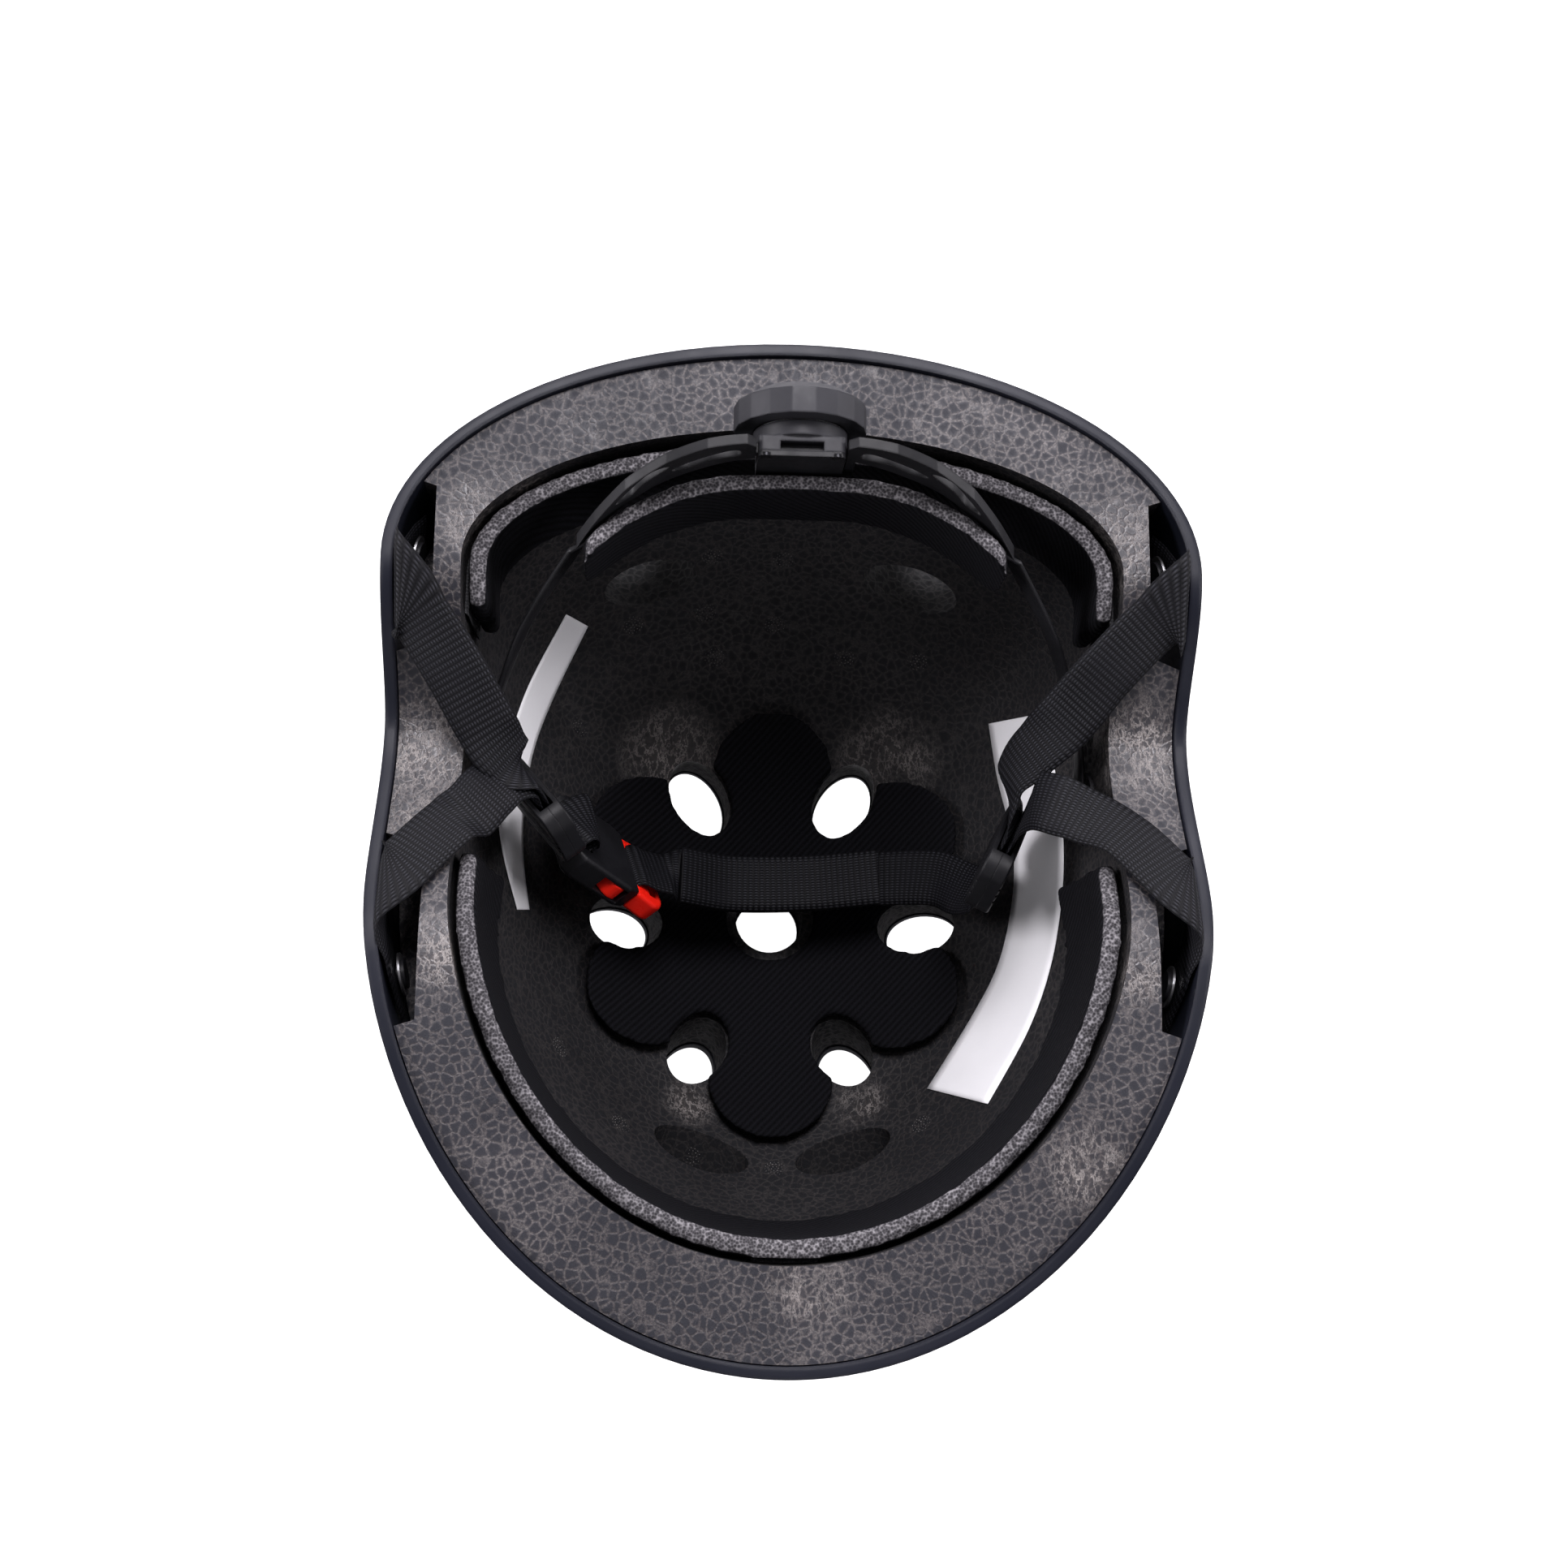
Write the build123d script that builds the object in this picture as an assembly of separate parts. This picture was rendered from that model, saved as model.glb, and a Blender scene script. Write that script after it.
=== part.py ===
from build123d import *
import math
import os

# Skateboard helmet, lying crown down as it is set on a table.
# Millimetres. Z points up out of the open side, -Y is the brow, +Y is the back of the head.
# The origin is the middle of the small flat on the crown.

# Shell: a half-ellipse in front, straight sides, a shorter half-ellipse behind
shell_half_width = 102.0
shell_front_reach = 127.5
shell_rear_reach = 127.5
front_join_y = -10.0
rear_join_y = 69.0
dome_height = 137.0
dome_power = 2.2
dome_sections = 8
crown_flat_share = 0.12
shell_wall = 3.0

# Rim heights, from the brow to the back of the head
rim_front_z = 124.1
rim_temple_z = 137.1
rim_ear_z = 115.7
rim_back_z = 135.2
rim_temple_y = -30.0
rim_ear_y = 29.5

# Foam liner
foam_gap = 0.3
foam_side = 16.2
foam_front = 22.6
foam_rear = 19.2
foam_crown = 18.0
foam_rim_drop = 1.5

# Vents
crown_vent_long = 22.0
crown_vent_short = 15.0
crown_vent_round = 18.5
wall_vent_long = 26.0
wall_vent_short = 14.0
vent_foam_margin = 0.4

# Strap pockets in the foam
pocket_depth = 9.5
pocket_drop = 32.0
rear_pocket_y = 69.0
rear_pocket_length = 43.0
front_pocket_y = -24.0
front_pocket_length = 50.0

# Rivets that hold the straps to the shell
rivet_drop = 17.0
rear_rivet_y = 75.0
front_rivet_y = -34.0
rivet_head_d = 10.0
rivet_head_t = 1.2
rivet_shank_d = 4.6
rivet_seat_d = 11.5
rivet_seat_depth = 0.5
rivet_tail_d = 7.5
rivet_tail_t = 0.8
washer_d = 10.5
washer_t = 0.6
rivet_clearance = 0.1

# Webbing
webbing_width = 15.5
webbing_t = 1.5
webbing_gap = 0.35
webbing_end_drop = 6.5

# Comfort pads and the hook dots that hold them
pad_t = 5.0
brow_pad_height = 33.0
brow_pad_drop = 5.0
brow_pad_end_y = -3.0
ring_pad_height = 24.0
ring_pad_drop = 5.0
ring_pad_start_y = 58.0
crown_pad_t = 3.2
petal_width = 35.0
petal_hole_d = 25.0
petal_angles = (-90, -33, 32, 90, 148, 213)
petal_reaches = (65.0, 58.0, 57.5, 57.0, 57.5, 58.0)
dot_d = 16.0
dot_t = 1.0
dot_gap = 0.05
pad_gap = 0.3

# Fit dial, with its axis tilted up at the back
dial_y = 96.9
dial_z = 150.6
dial_tilt = 3.0
knob_d = 32.5
knob_facets = 18
knob_tier_depth = 6.4
knob_crown_depth = 2.5
knob_crown_d = 25.0
knob_dish_d = 19.0
knob_dish_depth = 0.6
collar_d = 23.0
collar_depth = 3.6
running_gap = 0.3
shaft_d = 6.0
shaft_clearance = 0.05
housing_half_width = 10.5
housing_wall = 1.2
housing_rail = 2.6
cover_t = 1.3
cover_screw_d = 1.6
cover_screw_head_d = 2.8
cover_screw_head_t = 0.8
cover_screw_length = 3.6
dial_screw_d = 2.5
dial_screw_head_d = 4.4
dial_screw_head_t = 0.9
click_ring_d = 22.0
click_ring_bore = 17.0
click_ring_t = 1.0

# Rack and pinion
tooth_module = 0.75
pinion_teeth = 12
pressure_angle = 20.0
tooth_slack = 0.14
tooth_rise_share = 0.85
tooth_fall_share = 1.15
rack_rise_share = 0.6
tooth_root_share = 0.8
rack_t = 2.5
rack_bar = 2.3
rack_clearance = 0.1

# Lattice arms that the racks pull in, and the belts beyond them
arm_bend_radius = 60.0
arm_band_turn = 75.0
arm_reach = 54.0
belt_width = 7.5
belt_t = 1.5
anchor_d = 13.0
anchor_t = 2.0
anchor_pin_d = 5.0
anchor_pin_length = 9.0
anchor_y = 20.0
anchor_z = 96.0
pin_clearance = 0.1

# Cradle pad on the fit dial
cradle_pad_t = 4.5
cradle_half_width = 52.0
cradle_height = 26.0
cradle_top_drop = 1.5
cradle_end_droop = 3.5

# Strap dividers
divider_length = 28.0
divider_height = 20.0
divider_base_t = 1.6
divider_cover_t = 1.2
divider_round = 6.0
divider_slot_length = 16.8
divider_ridge = 0.8

# Side-release buckle
buckle_width = 25.0
buckle_t = 8.0
buckle_female_length = 25.6
buckle_male_length = 12.0
buckle_wall = 1.6
buckle_mouth_gap = 0.4
buckle_slot_length = 16.5
buckle_slot_width = 3.4
buckle_end_bar = 2.6
buckle_round = 2.4
buckle_base_round = 5.0
buckle_window_start = 4.0
buckle_window_length = 10.0
tongue_width = 4.0
tongue_length = 15.0
prong_t = 3.6
prong_play = 0.3

# Step between the two places that a slope is measured from
slope_step = 0.6

# One overrun for every cut
overrun = 6.0


def unit(x, y, z):
    return Vector(x, y, z).normalized()


def wall_sum(*layers):
    """Side, front, rear and crown wall of a stack of layers."""
    return [sum(layer[index] for layer in layers) for index in range(4)]


shell_layer = (shell_wall,) * 4
gap_layer = (foam_gap,) * 4
foam_layer = (foam_side, foam_front, foam_rear, foam_crown)
foam_back_wall = wall_sum(shell_layer, gap_layer)
foam_face_wall = wall_sum(foam_back_wall, foam_layer)
dot_back_wall = wall_sum(foam_face_wall, (dot_gap,) * 4)
dot_face_wall = wall_sum(dot_back_wall, (dot_t,) * 4)
pad_back_wall = wall_sum(dot_face_wall, (pad_gap,) * 4)
pad_face_wall = wall_sum(pad_back_wall, (pad_t,) * 4)
crown_pad_face_wall = wall_sum(pad_back_wall, (crown_pad_t,) * 4)


def dome_profile(turn):
    """Share of the plan and share of the depth at a turn from the crown, in degrees."""
    spread = math.sin(math.radians(turn)) ** (2 / dome_power)
    left = max(math.cos(math.radians(turn)), 0) ** (2 / dome_power)
    return spread, left


flat_turn = math.degrees(math.asin(crown_flat_share ** (dome_power / 2)))
flat_left = dome_profile(flat_turn)[1]


def spread_at(z, crown_wall=0):
    """Share of the full plan that the dome has reached at height z."""
    left = (dome_height - z) / (dome_height - crown_wall) * flat_left
    return (1 - max(left, 0) ** dome_power) ** (1 / dome_power)


def plan_wire(share, z, side_wall, front_wall, rear_wall):
    """Outline of the helmet from above, drawn in by its walls and scaled to a share."""
    half_width = (shell_half_width - side_wall) * share
    front = (shell_front_reach - front_wall) * share
    rear = (shell_rear_reach - rear_wall) * share
    front_y = front_join_y * share
    rear_y = rear_join_y * share
    brow = EllipticalCenterArc((0, front_y), half_width, front + front_y, 180, arc_size=180)
    back = EllipticalCenterArc((0, rear_y), half_width, rear - rear_y, 0, arc_size=180)
    right = Line((half_width, front_y), (half_width, rear_y))
    left = Line((-half_width, rear_y), (-half_width, front_y))
    return Pos(0, 0, z) * Wire([brow, right, back, left])


def bowl(walls):
    """Solid that fills the helmet inside the given walls, and runs on above the rim."""
    side_wall, front_wall, rear_wall, crown_wall = walls
    depth = dome_height - crown_wall
    wires = []
    for index in range(dome_sections + 1):
        turn = flat_turn + (90 - flat_turn) * index / dome_sections
        spread, left = dome_profile(turn)
        z = dome_height - depth * left / flat_left
        wires.append(plan_wire(spread, z, side_wall, front_wall, rear_wall))
    wires.append(plan_wire(1, dome_height + overrun, side_wall, front_wall, rear_wall))
    return Solid.make_loft(wires)


def outer_x(y, z, side_wall=0, front_wall=0, rear_wall=0, crown_wall=0):
    """Half-width of a bowl at a place along its length and height."""
    share = spread_at(z, crown_wall)
    half_width = (shell_half_width - side_wall) * share
    front_y = front_join_y * share
    rear_y = rear_join_y * share
    if y < front_y:
        reach = (shell_front_reach - front_wall) * share + front_y
        return half_width * math.sqrt(max(1 - ((front_y - y) / reach) ** 2, 0))
    if y > rear_y:
        reach = (shell_rear_reach - rear_wall) * share - rear_y
        return half_width * math.sqrt(max(1 - ((y - rear_y) / reach) ** 2, 0))
    return half_width


rim_stations = [
    (-shell_front_reach, rim_front_z),
    (rim_temple_y, rim_temple_z),
    (rim_ear_y, rim_ear_z),
    (rear_join_y, rim_back_z),
]


def rim_z(y):
    """Height of the shell's rim at a place along its length."""
    for (start_y, start_z), (end_y, end_z) in zip(rim_stations, rim_stations[1:]):
        if start_y <= y <= end_y:
            share = (y - start_y) / (end_y - start_y)
            return start_z + (end_z - start_z) * share * share * (3 - 2 * share)
    return rim_back_z


def rim_slope(y):
    """Rise of the rim for each unit of length towards the back."""
    step = slope_step
    return (rim_z(y + step) - rim_z(y - step)) / (2 * step)


def above_rim(drop):
    """Everything above the rim curve lowered by a drop."""
    reach = shell_rear_reach + overrun
    top = dome_height + 3 * overrun
    points = [Vector(0, y, z - drop) for y, z in rim_stations]
    start = Vector(0, -shell_front_reach - overrun, rim_front_z - drop)
    end = Vector(0, reach, rim_back_z - drop)
    edges = [Line(start, points[0])]
    for low, high in zip(points, points[1:]):
        third = (high.Y - low.Y) / 3
        edges.append(Bezier(low, low + Vector(0, third, 0), high - Vector(0, third, 0), high))
    edges.append(Line(points[-1], end))
    edges.extend(Polyline(end, (0, end.Y, top), (0, start.Y, top), start).edges())
    side = Face(Wire(edges))
    width = shell_half_width + overrun
    return extrude(side, amount=width, dir=(1, 0, 0), both=True)


def between_rims(drop, height):
    """A band that follows the rim, from a drop below it down to a further height."""
    return above_rim(drop + height) - above_rim(drop)


# Vents: place on the crown as shares of the half-width and reach, turn, tilt, long, short
crown_vent_shares = [
    (0, -0.001),
    (0.219, 0.285),
    (0.472, -0.033),
    (0.243, -0.376),
]
crown_vent_tilts = [0, 6, 12, 17]
wall_vent_shares = [(0.39, 0.74, 0.48), (0.21, -0.60, 0.34)]
wall_vent_lean = [24, 28]


def crown_vent(place, tilt, margin):
    """A hole through the crown, long across the ring of vents."""
    x = place[0] * shell_half_width
    y = place[1] * shell_front_reach
    if tilt == 0:
        outline = Circle(crown_vent_round / 2 + margin)
        axis = Plane((0, y, 0), z_dir=(0, 0, 1))
    else:
        outline = Ellipse(crown_vent_long / 2 + margin, crown_vent_short / 2 + margin)
        out = unit(x, y, 0)
        lean = math.radians(tilt)
        axis = Plane((x, y, 0), x_dir=out, z_dir=-out * math.sin(lean) + Vector(0, 0, math.cos(lean)))
    deep = foam_crown + shell_wall + 4 * overrun
    return extrude(axis * outline, amount=deep, both=True)


def wall_vent(place, lean, margin):
    """A hole through the front or rear wall, long across the head."""
    x = place[0] * shell_half_width
    y = place[1] * shell_front_reach
    z = place[2] * dome_height
    out = unit(x, y, 0)
    across = Vector(-out.Y, out.X, 0)
    fall = math.radians(lean)
    axis = Plane((x, y, z), x_dir=across, z_dir=out * math.cos(fall) - Vector(0, 0, math.sin(fall)))
    outline = Ellipse(wall_vent_long / 2 + margin, wall_vent_short / 2 + margin)
    deep = foam_front + shell_wall + 3 * overrun
    return extrude(axis * outline, amount=deep, both=False) + extrude(axis * outline, amount=-deep / 2)


def vents(margin=0):
    """All eleven vents, mirrored left and right."""
    holes = []
    for place, tilt in zip(crown_vent_shares, crown_vent_tilts):
        holes.append(crown_vent(place, tilt, margin))
        if tilt:
            holes.append(mirror(crown_vent(place, tilt, margin), Plane.YZ))
    for place, lean in zip(wall_vent_shares, wall_vent_lean):
        holes.append(wall_vent(place, lean, margin))
        holes.append(mirror(wall_vent(place, lean, margin), Plane.YZ))
    return holes


def rivet_plane(side, y):
    """Plane on the shell's outside with its Z axis pointing out through a rivet."""
    z = rim_z(y) - rivet_drop
    x = outer_x(y, z)
    step = slope_step
    along = (outer_x(y + step, z) - outer_x(y - step, z)) / (2 * step)
    rise = (outer_x(y, z + step) - outer_x(y, z - step)) / (2 * step)
    out = unit(side, -along, -rise)
    return Plane((side * x, y, z), x_dir=(0, 0, 1), z_dir=out)


rivet_planes = [rivet_plane(side, y) for side in (-1, 1) for y in (front_rivet_y, rear_rivet_y)]


def disc(diameter, bottom, top):
    """A round plate between two heights on its own axis."""
    return Pos(0, 0, bottom) * extrude(Circle(diameter / 2), amount=top - bottom)


def make_shell():
    """Hard shell with its vents, rivet holes and rounded rim."""
    shell = bowl((0, 0, 0, 0)) - bowl(shell_layer) - above_rim(0)
    shell = shell - vents()
    for plane in rivet_planes:
        seat = disc(rivet_seat_d, -rivet_seat_depth, overrun)
        hole = disc(rivet_shank_d + 2 * rivet_clearance, -2 * overrun, overrun)
        shell = shell - plane.location * seat - plane.location * hole
    return shell


def pocket(side, y, length):
    """Slot between foam and shell where a strap comes up from its rivet."""
    face_x = outer_x(y, rim_z(y)) - foam_back_wall[0] - pocket_depth
    far_x = shell_half_width + overrun
    half = length / 2
    draft = pocket_depth / 3
    outline = Polyline(
        (face_x, y - half + draft),
        (face_x, y + half - draft),
        (far_x, y + half + draft),
        (far_x, y - half - draft),
        close=True,
    )
    shape = extrude(make_face(outline), amount=pocket_drop + 2 * overrun)
    shape = Pos(0, 0, rim_z(y) - pocket_drop) * shape
    return shape if side > 0 else mirror(shape, Plane.YZ)


def anchor_plane(side):
    """Plane on the foam's inner side with its Z axis pointing into the helmet."""
    x = outer_x(anchor_y, anchor_z, *foam_face_wall)
    step = slope_step
    rise = outer_x(anchor_y, anchor_z + step, *foam_face_wall) - x
    inward = unit(-side * step, 0, rise)
    return Plane((side * x, anchor_y, anchor_z), x_dir=(0, 1, 0), z_dir=inward)


anchor_planes = [anchor_plane(side) for side in (-1, 1)]


def make_liner():
    """Foam liner with its vents, strap pockets and the sockets of the belt anchors."""
    liner = bowl(foam_back_wall) - bowl(foam_face_wall) - above_rim(foam_rim_drop)
    liner = liner - vents(vent_foam_margin)
    for side in (-1, 1):
        liner = liner - pocket(side, rear_pocket_y, rear_pocket_length)
        liner = liner - pocket(side, front_pocket_y, front_pocket_length)
    for plane in anchor_planes:
        socket = disc(anchor_pin_d + 2 * pin_clearance, -anchor_pin_length - pin_clearance, overrun)
        seat = disc(anchor_d + 2 * pin_clearance, -anchor_t / 2, overrun)
        liner = liner - plane.location * socket - plane.location * seat
    return liner


pad_block = shell_half_width + shell_rear_reach + overrun


def make_wall_pad(drop, height, y_from, y_to):
    """A pad that lies on the foam's inner wall and follows the rim."""
    pad = bowl(pad_back_wall) - bowl(pad_face_wall)
    pad = pad & between_rims(drop, height)
    middle = (y_from + y_to) / 2
    return pad & (Pos(0, middle, 0) * Box(2 * pad_block, y_to - y_from, 2 * pad_block))


def make_crown_pad():
    """Six petals round the middle vent, lying on the foam's crown."""
    flower = Circle(petal_hole_d / 2 + overrun)
    for angle, reach in zip(petal_angles, petal_reaches):
        straight = reach - petal_width / 2
        petal = Pos(straight / 2, 0) * Rectangle(straight, petal_width)
        petal += Pos(straight, 0) * Circle(petal_width / 2)
        flower += Rot(0, 0, angle) * petal
    flower -= Circle(petal_hole_d / 2)
    pad = bowl(pad_back_wall) - bowl(crown_pad_face_wall)
    pad = pad & extrude(flower, amount=dome_height / 2)
    return pad - vents(vent_foam_margin)


# Hook dots: turn round the head and height as a share of the rim, and those on the crown
brow_dot_turns = (-90, -52, -128, -16, -164)
ring_dot_turns = (90, 58, 122, 40, 140)
brow_dot_height_share = 0.77
ring_dot_height_share = 0.83
crown_dot_reach_share = 0.62


def make_dots():
    """Hook dots glued to the foam behind the pads."""
    skin = bowl(dot_back_wall) - bowl(dot_face_wall)
    dots = []
    brow_row = (brow_dot_turns, brow_dot_height_share)
    ring_row = (ring_dot_turns, ring_dot_height_share)
    for turns, height_share in (brow_row, ring_row):
        for turn in turns:
            out = Vector(math.cos(math.radians(turn)), math.sin(math.radians(turn)), 0)
            plane = Plane((0, 0, dome_height * height_share), z_dir=out)
            dots.append(skin & extrude(plane * Rectangle(dot_d, dot_d), amount=pad_block))
    for angle, reach in zip(petal_angles, petal_reaches):
        place = Rot(0, 0, angle) * Pos(reach * crown_dot_reach_share, 0)
        dots.append(skin & extrude(place * Rectangle(dot_d, dot_d), amount=dome_height / 2))
    return Compound(children=[solid for dot in dots for solid in dot.solids()])


def squared(across, run):
    """The part of a direction that is square to a run, one long."""
    return (across - run * across.dot(run)).normalized()


def ribbon(stations, width=webbing_width, thickness=webbing_t):
    """Flat band through stations: a centre, its width's direction, and half a fold line or None."""
    sections = []
    centres = [station[0] for station in stations]
    last_side = None
    for index, (centre, across, fold) in enumerate(stations):
        before = centres[max(index - 1, 0)]
        after = centres[min(index + 1, len(centres) - 1)]
        run = (after - before).normalized()
        side = fold or squared(across, run) * (width / 2)
        if last_side is not None and side.dot(last_side) < 0:
            side = -side
        last_side = side
        face = run.cross(side).normalized() * (thickness / 2)
        corners = [centre + side + face, centre - side + face, centre - side - face, centre + side - face]
        sections.append(corners)
    faces = [Face(Wire.make_polygon(section, close=True)) for section in (sections[0], sections[-1])]
    for near, far in zip(sections, sections[1:]):
        for index, corner in enumerate(near):
            start = Edge.make_line(near[index - 1], corner)
            end = Edge.make_line(far[index - 1], far[index])
            faces.append(Face.make_surface_from_curves(start, end))
    return Solid(Shell(faces))


def spot(shares):
    """A point given as shares of the half-width, the rear reach and the dome's height."""
    return Vector(shares[0] * shell_half_width, shares[1] * shell_rear_reach, shares[2] * dome_height)


def shares_station(shares, across):
    return spot(shares), Vector(*across), None


# Straps over the rim: place along it, share of the way in, and direction of the width from above
rear_fold_y = 61.5
rear_over_shares = ((57.0, 0.50), (47.6, 1.30))
rear_cross_share = (0.64, -0.77)
front_fold_y = -14.3
front_over_shares = ((-5.8, 0.45), (4.0, 0.95))
front_cross_share = (0.79, 0.61)

# Straps past the rim: shares of half-width, rear reach and height, and direction of the width
right_rear_shares = (
    ((0.700, 0.318, 0.825), (0.62, -0.70, 0.35)),
    ((0.640, 0.262, 0.737), (0.30, -0.35, 0.88)),
)
right_front_shares = (
    ((0.745, 0.111, 0.885), (0.83, 0.55, -0.10)),
    ((0.700, 0.180, 0.800), (0.60, 0.65, -0.45)),
    ((0.662, 0.165, 0.745), (0.40, 0.75, -0.52)),
)
left_rear_shares = (
    ((-0.747, 0.293, 0.832), (-0.45, -0.80, 0.25)),
    ((-0.695, 0.222, 0.820), (0.10, -0.85, 0.35)),
)
left_front_shares = (
    ((-0.772, 0.055, 0.897), (-0.83, 0.55, 0.20)),
    ((-0.735, 0.100, 0.868), (-0.75, 0.62, 0.10)),
    ((-0.700, 0.135, 0.835), (-0.62, 0.70, -0.25)),
)

# Dividers: their middles, the way the webbing's width runs, and the way out of the helmet
divider_shares = {"right": (0.562, 0.046, 0.620), "left": (-0.613, 0.110, 0.708)}
divider_across_shares = {"right": (0.35, 0.75, -0.57), "left": (0.56, -0.70, 0.44)}
divider_out_shares = {"right": (0.91, -0.43, 0), "left": (-0.78, -0.62, 0)}
divider_channel_t = 2 * webbing_t + 3 * webbing_gap
divider_depth = divider_base_t + divider_cover_t + divider_channel_t


def divider_plane(name):
    """Plane in the middle of a divider: X across the webbing, Y up it, Z through the plates."""
    across = divider_across_shares[name]
    return Plane(spot(divider_shares[name]), x_dir=across, z_dir=divider_out_shares[name])


def divider_station(name, y, layer):
    """A station of webbing inside or straight beyond a divider."""
    plane = divider_plane(name)
    return plane.from_local_coords(Vector(0, y, layer)), plane.x_dir, None


def make_divider(name):
    """Base and cover of a strap divider, split through its channel, with grooves outside."""
    block = Box(divider_length, divider_height, divider_depth)
    block = fillet(block.edges().filter_by(Axis.Z), divider_round)
    rims = block.edges().group_by(Axis.Z)
    block = chamfer(rims[0] + rims[-1], divider_ridge / 2)
    block = block - Box(divider_slot_length, divider_height + overrun, divider_channel_t)
    for step in (-1, 0, 1):
        groove = Box(divider_length, divider_ridge, divider_ridge)
        block = block - Pos(0, step * 3 * divider_ridge, divider_depth / 2) * groove
        block = block - Pos(0, step * 3 * divider_ridge, -divider_depth / 2) * groove
    half = Pos(0, 0, divider_depth / 2) * Box(2 * divider_length, 2 * divider_height, divider_depth)
    frame = divider_plane(name).location
    return frame * (block & half), frame * (block - half)


strap_wall = (shell_wall + webbing_gap + webbing_t / 2,) * 4


def wall_station(side, y, z, lean):
    """Webbing that lies on the shell's inside wall and leans towards the brow."""
    half_y = webbing_width / 2 * math.cos(lean)
    half_z = webbing_width / 2 * math.sin(lean)
    near = Vector(side * outer_x(y - half_y, z - half_z, *strap_wall), y - half_y, z - half_z)
    far = Vector(side * outer_x(y + half_y, z + half_z, *strap_wall), y + half_y, z + half_z)
    return (near + far) / 2, (far - near).normalized(), None


def strap_lean(cross):
    """Lean of the webbing in its pocket that a straight fold over the rim asks for."""
    return math.atan2(-cross[1], cross[0])


def strap_seat(side, y, cross):
    """The station on a rivet."""
    return wall_station(side, y, rim_z(y) - rivet_drop, strap_lean(cross))


def strap_start(side, y, fold_y, cross):
    """The strap end on its rivet, the run up its pocket and the fold over the rim."""
    lean = strap_lean(cross)
    z = rim_z(y) - rivet_drop
    stations = []
    for along in (-webbing_end_drop, 0, rivet_drop / 2):
        station_y = y - along * math.sin(lean)
        stations.append(wall_station(side, station_y, z + along * math.cos(lean), lean))
    half = webbing_width / 2 / math.cos(lean)
    fold_z = rim_z(fold_y) + webbing_gap + webbing_t / 2
    x = outer_x(fold_y + half, dome_height, *strap_wall)
    line = Vector(0, half, half * rim_slope(fold_y))
    stations.append((Vector(side * x, fold_y, fold_z), line, line))
    return stations


def over_rim(side, y, share_in, cross):
    """A station where a strap lies over the rim of the foam, tilted as the rim is."""
    outer = outer_x(y, rim_z(y), *foam_back_wall)
    inner = outer_x(y, rim_z(y), *foam_face_wall)
    x = outer + (inner - outer) * share_in
    z = rim_z(y) + webbing_gap + webbing_t / 2
    return Vector(side * x, y, z), Vector(side * cross[0], cross[1], cross[1] * rim_slope(y)), None


def make_side_strap(name, y, fold_y, over, cross, shares, layer):
    """Webbing from its rivet up over the rim and down into a divider."""
    side = 1 if name == "right" else -1
    stations = strap_start(side, y, fold_y, cross)
    for rim_y, share_in in over:
        stations.append(over_rim(side, rim_y, share_in, cross))
    for place, across in shares:
        stations.append(shares_station(place, across))
    top = divider_height / 2
    stations.append(divider_station(name, top + 3 * webbing_t, layer))
    stations.append(divider_station(name, top, layer))
    stations.append(divider_station(name, webbing_gap / 2, layer))
    hole = disc(rivet_shank_d + 2 * rivet_clearance, -2 * overrun, overrun)
    return ribbon(stations) - rivet_plane(side, y).location * hole


rivet_crosses = (front_cross_share, rear_cross_share) * 2
rivet_sides = (-1, -1, 1, 1)
rivet_ys = (front_rivet_y, rear_rivet_y) * 2


def washer_depths():
    """Depth below the shell's outside of each washer, just past its strap."""
    depths = []
    for plane, side, y, cross in zip(rivet_planes, rivet_sides, rivet_ys, rivet_crosses):
        strap = (plane.origin - strap_seat(side, y, cross)[0]).dot(plane.z_dir)
        depths.append(strap + webbing_t / 2 + 2 * webbing_gap)
    return depths


def make_rivets():
    """Four rivets: a low head outside, a shank through the shell and strap, a rolled tail."""
    rivets = []
    for plane, depth in zip(rivet_planes, washer_depths()):
        inner = depth + washer_t
        rivet = disc(rivet_head_d, -rivet_seat_depth, rivet_head_t - rivet_seat_depth)
        rivet += disc(rivet_shank_d, -inner, 0)
        rivet += disc(rivet_tail_d, -inner - rivet_tail_t, -inner)
        rim = rivet.edges().filter_by(GeomType.CIRCLE).sort_by(Axis.Z)[-1]
        rivets.append(plane.location * chamfer(rim, rivet_head_t / 3))
    return Compound(children=rivets)


def make_washers():
    """Flat washers between each strap end and the rivet's tail."""
    washers = []
    for plane, depth in zip(rivet_planes, washer_depths()):
        washer = disc(washer_d, -depth - washer_t, -depth)
        washer -= disc(rivet_shank_d + 2 * rivet_clearance, -depth - overrun, overrun)
        washers.append(plane.location * washer)
    return Compound(children=washers)


# Buckle: the middle of the strap end of its male base, and the way it lies
buckle_end_share = (-0.346, 0.021, 0.365)
buckle_along_share = (0.612, -0.261, -0.746)
buckle_face_share = (0.745, 0.505, 0.435)
buckle_mouth = spot(buckle_end_share) - Vector(*buckle_along_share).normalized() * buckle_male_length
buckle_plane = Plane(buckle_mouth, x_dir=buckle_along_share, z_dir=buckle_face_share)
female_slot_x = -buckle_female_length + buckle_end_bar + buckle_slot_width / 2
male_slot_x = buckle_male_length - buckle_end_bar - buckle_slot_width / 2
cavity_width = buckle_width - 2 * (buckle_wall + 2 * prong_play) - 2 * buckle_wall
cavity_t = buckle_t - 2 * buckle_wall
cavity_length = buckle_female_length - 2 * buckle_end_bar - buckle_slot_width


def buckle_point(x, y, z):
    return buckle_plane.from_local_coords(Vector(x, y, z))


def buckle_slot(x):
    """Slot through a buckle end for the webbing."""
    return Pos(x, 0, 0) * Box(buckle_slot_width, buckle_slot_length, 2 * buckle_t)


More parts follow.
